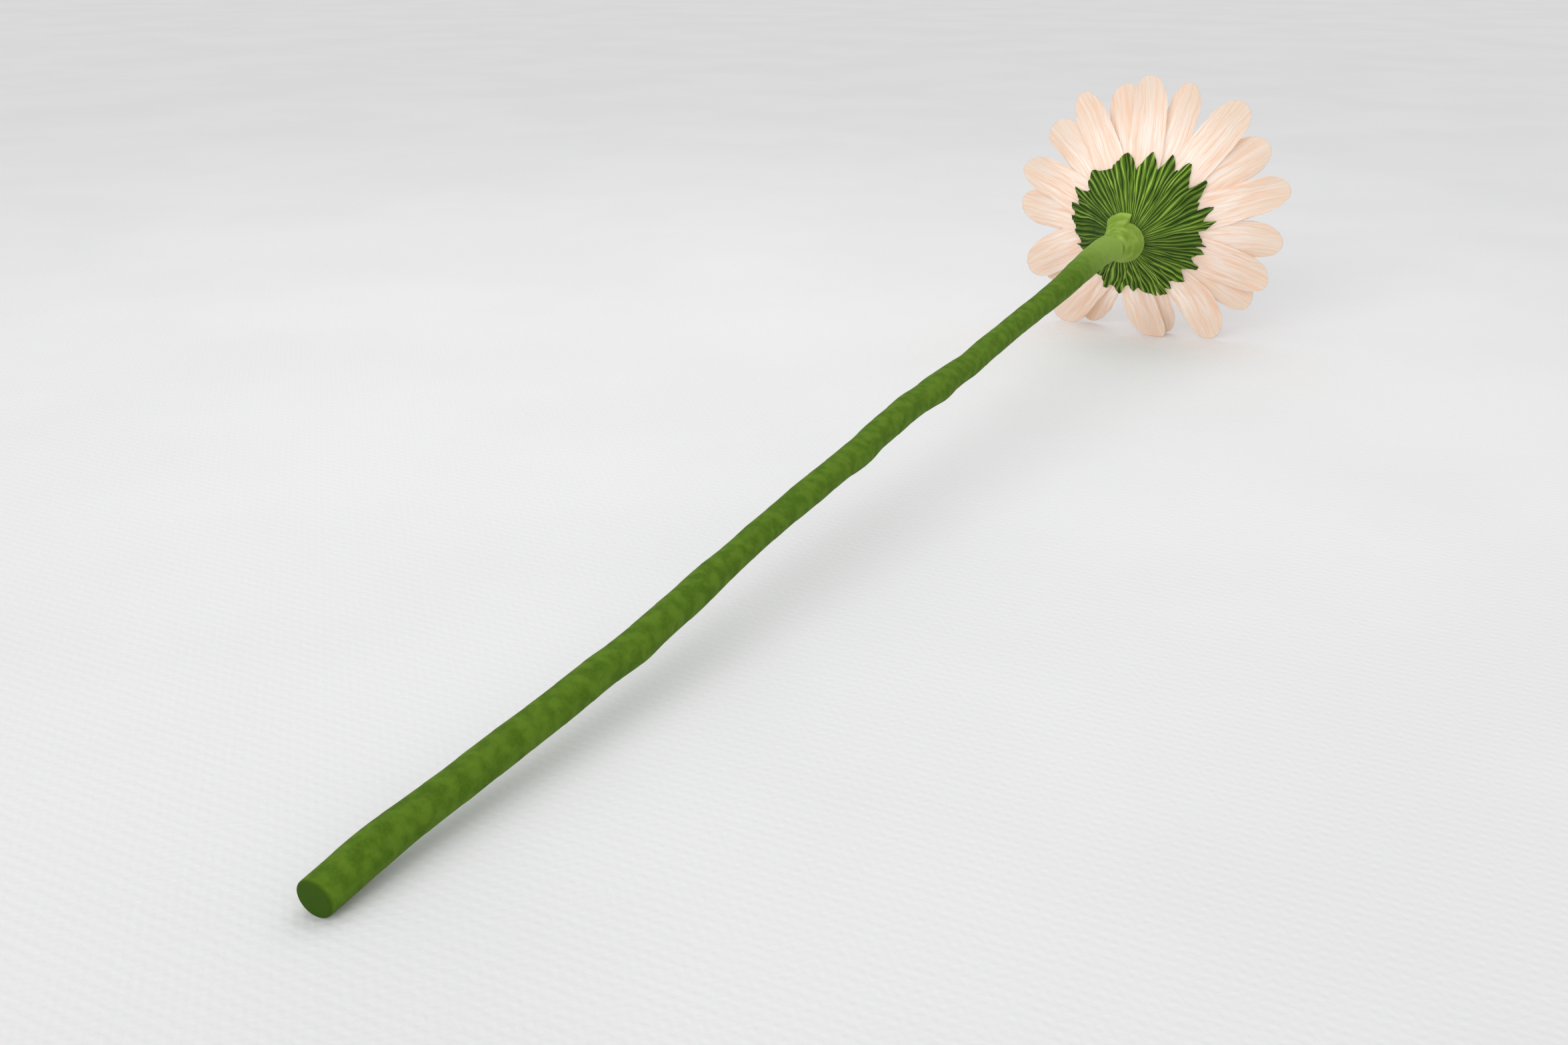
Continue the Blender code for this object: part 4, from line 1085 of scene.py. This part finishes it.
def collar_finish(colours):
    """Fresh yellow-green tape of the collar: faint rings where turns of it end, painted shade in two
    creases.
    """
    finish, tree = new_finish("collar tape", 0.8, 0.12)
    lines = crepe_lines(tree, 1.3, 0.5, 1.0)
    mottle = paper_mottle(tree, 260.0, 2200.0)
    base = painted(
        tree, colours.collar_dark,
        (mottle["Patch"], colours.collar_light),
        (ranged(tree, field(tree, "ring"), 0.1, -0.6, 0.0, 0.45), colours.collar_dark),
        # Painted shade in the creases beside the neck, in the stem's dark green.
        (scaled(tree, field(tree, "crease"), 0.8), colours.stem_dark_and_crease_shade),
    )
    return dressed(finish, base, with_fibres(tree, lines["Streak"], mottle, 0.8), 0.045, 0.6)


def fringe_finish(colours):
    """Peach crepe of the fringe, deeper at the foot of the blades."""
    finish, tree = new_finish("fringe crepe", 0.8)
    lines = crepe_lines(tree, 2.4, 0.2, 0.8)
    base = painted(
        tree, colours.fringe_peach,
        (lines["Streak"], colours.petal_cream),
        (ranged(tree, field(tree, "station"), 0.7, 0.0, 0.0, 0.8), colours.petal_deep_and_valley_shade),
        (ranged(tree, field(tree, "shade"), -1.0, 1.0, 0.0, 0.35), colours.petal_tan),
    )
    return dressed(finish, base, lines["Height"], 0.08, 0.8, base, 0.35)


def centre_finish(colours):
    """Yellow-green crepe of the rolled centre, with pale tips on its tufts."""
    finish, tree = new_finish("centre crepe", 0.82)
    mottle = paper_mottle(tree, 500.0, 2600.0)
    base = painted(
        tree, colours.centre_green,
        (mottle["Patch"], colours.centre_yellow),
        (ranged(tree, field(tree, "station"), 0.45, 1.0, 0.0, 0.8), colours.centre_tip),
        (ranged(tree, field(tree, "shade"), -1.0, 1.0, 0.0, 0.3), colours.centre_green),
    )
    return dressed(finish, base, mottle["Fibre"], 0.08, 0.7)


def tissue_finish(colours):
    """Soft white tissue of the padding under the tape."""
    finish, tree = new_finish("padding tissue", 0.95)
    mottle = paper_mottle(tree, 420.0, 5200.0)
    base = painted(tree, colours.tissue_shade, (mottle["Patch"], colours.tissue_white))
    return dressed(finish, base, mottle["Fibre"], 0.10, 0.8)


def wire_finish(colours):
    """Drawn steel wire with dull patches."""
    finish, tree = new_finish("stem wire steel", 0.4, Metallic=1.0)
    mottle = paper_mottle(tree, 900.0, 6500.0)
    base = painted(tree, colours.wire_dark, (mottle["Patch"], colours.wire_light))
    dull = ranged(tree, mottle["Fibre"], 0.0, 1.0, 0.30, 0.5)
    tree.links.new(dull, tree.nodes["Principled BSDF"].inputs["Roughness"])
    return dressed(finish, base, mottle["Fibre"], 0.02, 0.5)


def cloth_finish(colours):
    """Pale plain-woven cloth: two crossed waves for the threads, and soft patches."""
    finish, tree = new_finish("floor cloth", 0.95, 0.1)
    mottle = paper_mottle(tree, 9.0, 700.0)
    base = painted(tree, colours.floor_pale, (scaled(tree, mottle["Patch"], 0.5), colours.floor_shade))
    inputs = {"Vector": add_node(tree, "ShaderNodeTexCoord").outputs["Object"], "Scale": 130.0}
    threads = [
        add_node(tree, "ShaderNodeTexWave", inputs, bands_direction=direction).outputs[1]
        for direction in ("X", "Y")
    ]
    weave = scaled(tree, *threads)
    return dressed(finish, base, with_fibres(tree, weave, mottle, 0.6), 0.12, 0.35)


# The add-on


def length_of(label, text, value, low, high):
    return FloatProperty(name=label, description=text, default=value, min=low, max=high, precision=3)


def count_of(label, text, value, low, high):
    return IntProperty(name=label, description=text, default=value, min=low, max=high)


def colour_of(label, text, red, green, blue):
    return FloatVectorProperty(
        name=label, description=text, default=paint(red, green, blue),
        size=3, min=0.0, max=1.0, subtype="COLOR",
    )


class GerberaSizes(bpy.types.PropertyGroup):
    """Sizes in millimetres, and counts."""

    petal_sheet: length_of("Petal paper", "Thickness of the petal paper in mm", 0.2, 0.05, 0.6)
    crinkle_depth: length_of("Crinkle depth", "Depth of the petals' fine crinkles in mm", 0.17, 0.0, 0.4)
    fold_depth: length_of("Fold depth", "Depth of the petals' broad folds in mm", 0.30, 0.0, 1.0)
    ripple_depth: length_of("Ripple depth", "Depth of the ripples at the petal tips in mm", 0.22, 0.0, 1.0)
    calyx_sheet: length_of("Calyx paper", "Thickness of the calyx paper in mm", 0.25, 0.05, 0.6)
    pleat_depth: length_of("Pleat depth", "Depth of a pleat as a share of its width", 0.46, 0.0, 1.0)
    tape_step: length_of("Tape step", "How far the stem's tape climbs with each turn in mm", 9.5, 3.0, 30.0)
    tape_lap: length_of("Tape lap", "Height of the edge where the tape laps in mm", 0.06, 0.0, 0.5)
    pleats: count_of("Pleats", "Number of pleats round the calyx", 86, 20, 200)
    fringe_blades: count_of("Fringe blades", "Blades in each ring of the fringe", 48, 12, 96)
    tufts: count_of("Tufts", "Tufts on the rolled centre", 170, 20, 300)


class GerberaColours(bpy.types.PropertyGroup):
    """Colours of the papers, the tapes and the floor."""

    petal_cream: colour_of("Petal cream", "Light streaks of the petals", 255, 254, 251)
    petal_peach: colour_of("Petal peach", "Dyed streaks of the petals", 250, 241, 232)
    petal_milk: colour_of("Petal milk", "Thin greyish streaks of the petals", 248, 247, 245)
    # In the crinkle valleys this colour is partly painted shade; it also colours the dyed lines and the
    # fringe's foot.
    petal_deep_and_valley_shade: colour_of("Petal deep", "Valleys of the crinkles", 245, 212, 181)
    petal_line: colour_of("Petal line", "Dyed lines along the petals", 243, 209, 179)
    petal_tan: colour_of("Petal tan", "Tips of the petals", 226, 213, 198)
    petal_glow: colour_of("Petal glow", "Light that comes through the petals", 252, 215, 190)
    petal_root: colour_of("Petal root", "Petals near the calyx", 254, 244, 232)
    # A painted highlight along the crests of the pleats.
    calyx_ridge_highlight: colour_of("Calyx ridge", "Lit ridges of the pleats", 146, 176, 74)
    calyx_leaf: colour_of("Calyx green", "Flanks of the pleats", 78, 110, 16)
    # Painted shade in the grooves between pleats; also the dark of the fine lines and of the calyx's darker
    # sides.
    calyx_dark_and_groove_shade: colour_of("Calyx groove", "Grooves between pleats", 24, 48, 8)
    stem_light: colour_of("Stem light", "Light patches of the stem's tape", 90, 121, 29)
    # Also the painted shade in the collar's creases.
    stem_dark_and_crease_shade: colour_of("Stem dark", "Dark patches of the stem's tape", 68, 99, 13)
    cut_dark: colour_of("Cut end", "The stem's cut end", 46, 72, 6)
    neck_green: colour_of("Neck green", "The stem's tape near the bloom", 138, 168, 76)
    collar_light: colour_of("Collar light", "Light patches of the collar's tape", 140, 166, 72)
    collar_dark: colour_of("Collar dark", "Dark patches of the collar's tape", 112, 142, 46)
    fringe_peach: colour_of("Fringe peach", "The fringe round the centre", 244, 196, 158)
    centre_yellow: colour_of("Centre yellow", "Light patches of the rolled centre", 208, 200, 104)
    centre_green: colour_of("Centre green", "Dark patches of the rolled centre", 150, 156, 58)
    centre_tip: colour_of("Centre tips", "Tips of the tufts", 236, 222, 150)
    tissue_white: colour_of("Tissue white", "The padding's tissue", 238, 234, 226)
    tissue_shade: colour_of("Tissue shade", "Creases of the padding's tissue", 214, 208, 198)
    wire_light: colour_of("Wire light", "Bright patches of the wire", 186, 186, 188)
    wire_dark: colour_of("Wire dark", "Dull patches of the wire", 140, 140, 142)
    floor_pale: colour_of("Floor pale", "The cloth that it lies on", 234, 234, 235)
    floor_shade: colour_of("Floor shade", "Soft patches of the cloth", 228, 228, 229)


class PetalRows(bpy.types.Operator):
    """Makes the two rows of crinkled petals in place of their solids"""

    bl_idname = "gerbera.petal_rows"
    bl_label = "Petal rows"

    def execute(self, context):
        sizes = context.scene.gerbera_sizes
        finish = petal_finish(context.scene.gerbera_colours)
        outer = petal_row(
            "petals_outer_crepe", OUTER_ROW, OUTER_LAYER, -PETAL_EDGE_CURL, OUTER_SEED, sizes
        )
        put_piece(outer, finish, ["petals_outer"], sizes.petal_sheet)
        inner = petal_row(
            "petals_inner_crepe", INNER_ROW, INNER_LAYER, PETAL_EDGE_CURL, INNER_SEED, sizes
        )
        put_piece(inner, finish, ["petals_inner"], sizes.petal_sheet)
        return {"FINISHED"}


class Calyx(bpy.types.Operator):
    """Makes the pleated calyx with its cut edge in place of its solid"""

    bl_idname = "gerbera.calyx"
    bl_label = "Calyx"

    def execute(self, context):
        sizes = context.scene.gerbera_sizes
        finish = calyx_finish(context.scene.gerbera_colours)
        mesh = welded(sheet_mesh("calyx_crepe", [calyx_sheet(sizes)]))
        put_piece(mesh, finish, ["calyx"], sizes.calyx_sheet)
        return {"FINISHED"}


class StemTape(bpy.types.Operator):
    """Makes the stem's wound tape in place of its solid"""

    bl_idname = "gerbera.stem_tape"
    bl_label = "Stem tape"

    def execute(self, context):
        finish = stem_finish(context.scene.gerbera_colours)
        mesh = welded(sheet_mesh("stem_tape_wound", [stem_sheet(context.scene.gerbera_sizes)]))
        put_piece(mesh, finish, ["stem_tape"])
        return {"FINISHED"}


class CollarTape(bpy.types.Operator):
    """Makes the collar's wound tape and its loose end in place of its solid"""

    bl_idname = "gerbera.collar_tape"
    bl_label = "Collar tape"

    def execute(self, context):
        finish = collar_finish(context.scene.gerbera_colours)
        mesh = welded(sheet_mesh("collar_tape_wound", [collar_sheet()]))
        put_piece(mesh, finish, ["collar_tape"], COLLAR_SHEET)
        return {"FINISHED"}


class Centre(bpy.types.Operator):
    """Makes the fringe and the tufted centre in place of their solids"""

    bl_idname = "gerbera.centre"
    bl_label = "Fringe and centre"

    def execute(self, context):
        sizes = context.scene.gerbera_sizes
        colours = context.scene.gerbera_colours
        fringe = welded(sheet_mesh("fringe_blades", fringe_sheet(sizes)))
        put_piece(fringe, fringe_finish(colours), ["fringe"], FRINGE_SHEET)
        centre = welded(sheet_mesh("centre_tufts", centre_forms(sizes)), outward=True)
        put_piece(centre, centre_finish(colours), ["centre_roll"])
        return {"FINISHED"}


class InnerFinishes(bpy.types.Operator):
    """Gives the padding and the wire, whose solids stay, their finishes"""

    bl_idname = "gerbera.inner_finishes"
    bl_label = "Padding and wire"

    def execute(self, context):
        colours = context.scene.gerbera_colours
        for name, maker in (("stem_padding", tissue_finish), ("stem_wire", wire_finish)):
            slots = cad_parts[name].data.materials
            slots.clear()
            slots.append(maker(colours))
        return {"FINISHED"}


def hang(scene, data, place=(0.0, 0.0, 0.0), turn_deg=(0.0, 0.0, 0.0)):
    """Links an object named like its data, at a place in metres and turned by degrees."""
    made = bpy.data.objects.new(data.name, data)
    made.location = place
    made.rotation_euler = [math.radians(turn) for turn in turn_deg]
    scene.collection.objects.link(made)
    return made


class Stage(bpy.types.Operator):
    """Makes the pale floor, the soft light and the camera"""

    bl_idname = "gerbera.stage"
    bl_label = "Stage"

    def execute(self, context):
        scene = context.scene
        angle = np.linspace(0.0, 2.0 * math.pi, FLOOR_COLUMNS, endpoint=False)[None, :]
        radius = np.array(FLOOR_RINGS)[:, None]
        flat = np.stack((radius * np.cos(angle), radius * np.sin(angle)), axis=-1)
        points = np.concatenate((flat, 0.0 * flat[..., :1]), axis=-1)
        part = (points, grid_faces(*flat.shape[:2], closed=True), flat, {})
        mesh = welded(sheet_mesh("floor", [part]), outward=True)
        mesh.materials.append(cloth_finish(scene.gerbera_colours))
        floor = hang(scene, mesh)
        scene.world = bpy.data.worlds.new("pale studio")
        scene.world.use_nodes = True
        sky = scene.world.node_tree.nodes["Background"].inputs
        sky["Color"].default_value = (1.0, 1.0, 1.0, 1.0)
        sky["Strength"].default_value = SKY_STRENGTH
        window = bpy.data.lights.new("broad window", "SUN")
        window.energy = WINDOW_STRENGTH
        window.angle = math.radians(WINDOW_BREADTH_DEG)
        hang(scene, window, turn_deg=WINDOW_TURN_DEG)
        panel = bpy.data.lights.new("overhead panel", "AREA")
        panel.shape = "DISK"
        panel.size = PANEL_SIZE
        panel.energy = PANEL_POWER
        hang(scene, panel, place=PANEL_PLACE)
        camera = bpy.data.cameras.new("camera")
        camera.lens = CAMERA_LENS
        camera.sensor_width = CAMERA_SENSOR
        camera.clip_start, camera.clip_end = CAMERA_CLIP
        scene.camera = hang(scene, camera, CAMERA_PLACE, CAMERA_TURN_DEG)
        scene.view_settings.view_transform = "Standard"
        scene.view_settings.look = "None"
        return {"FINISHED"}


class VIEW3D_PT_gerbera(bpy.types.Panel):
    """Lists the steps that make the gerbera, and its sizes and colours"""

    bl_label = "Paper gerbera"
    bl_idname = "VIEW3D_PT_gerbera"
    bl_space_type = "VIEW_3D"
    bl_region_type = "UI"
    bl_category = "Gerbera"

    def draw(self, context):
        column = self.layout.column()
        for step in STEPS:
            column.operator(step.bl_idname)
        for group in (context.scene.gerbera_sizes, context.scene.gerbera_colours):
            for name in group.__annotations__:
                column.prop(group, name)


STEPS = (PetalRows, Calyx, StemTape, CollarTape, Centre, InnerFinishes, Stage)
CLASSES = (GerberaSizes, GerberaColours, *STEPS, VIEW3D_PT_gerbera)


def register():
    for kind in CLASSES:
        bpy.utils.register_class(kind)
    bpy.types.Scene.gerbera_sizes = PointerProperty(type=GerberaSizes)
    bpy.types.Scene.gerbera_colours = PointerProperty(type=GerberaColours)


def unregister():
    del bpy.types.Scene.gerbera_colours
    del bpy.types.Scene.gerbera_sizes
    for kind in reversed(CLASSES):
        bpy.utils.unregister_class(kind)


def main():
    register()
    bpy.ops.gerbera.petal_rows()
    bpy.ops.gerbera.calyx()
    bpy.ops.gerbera.stem_tape()
    bpy.ops.gerbera.collar_tape()
    bpy.ops.gerbera.centre()
    bpy.ops.gerbera.inner_finishes()
    bpy.ops.gerbera.stage()


if __name__ == "__main__":
    main()
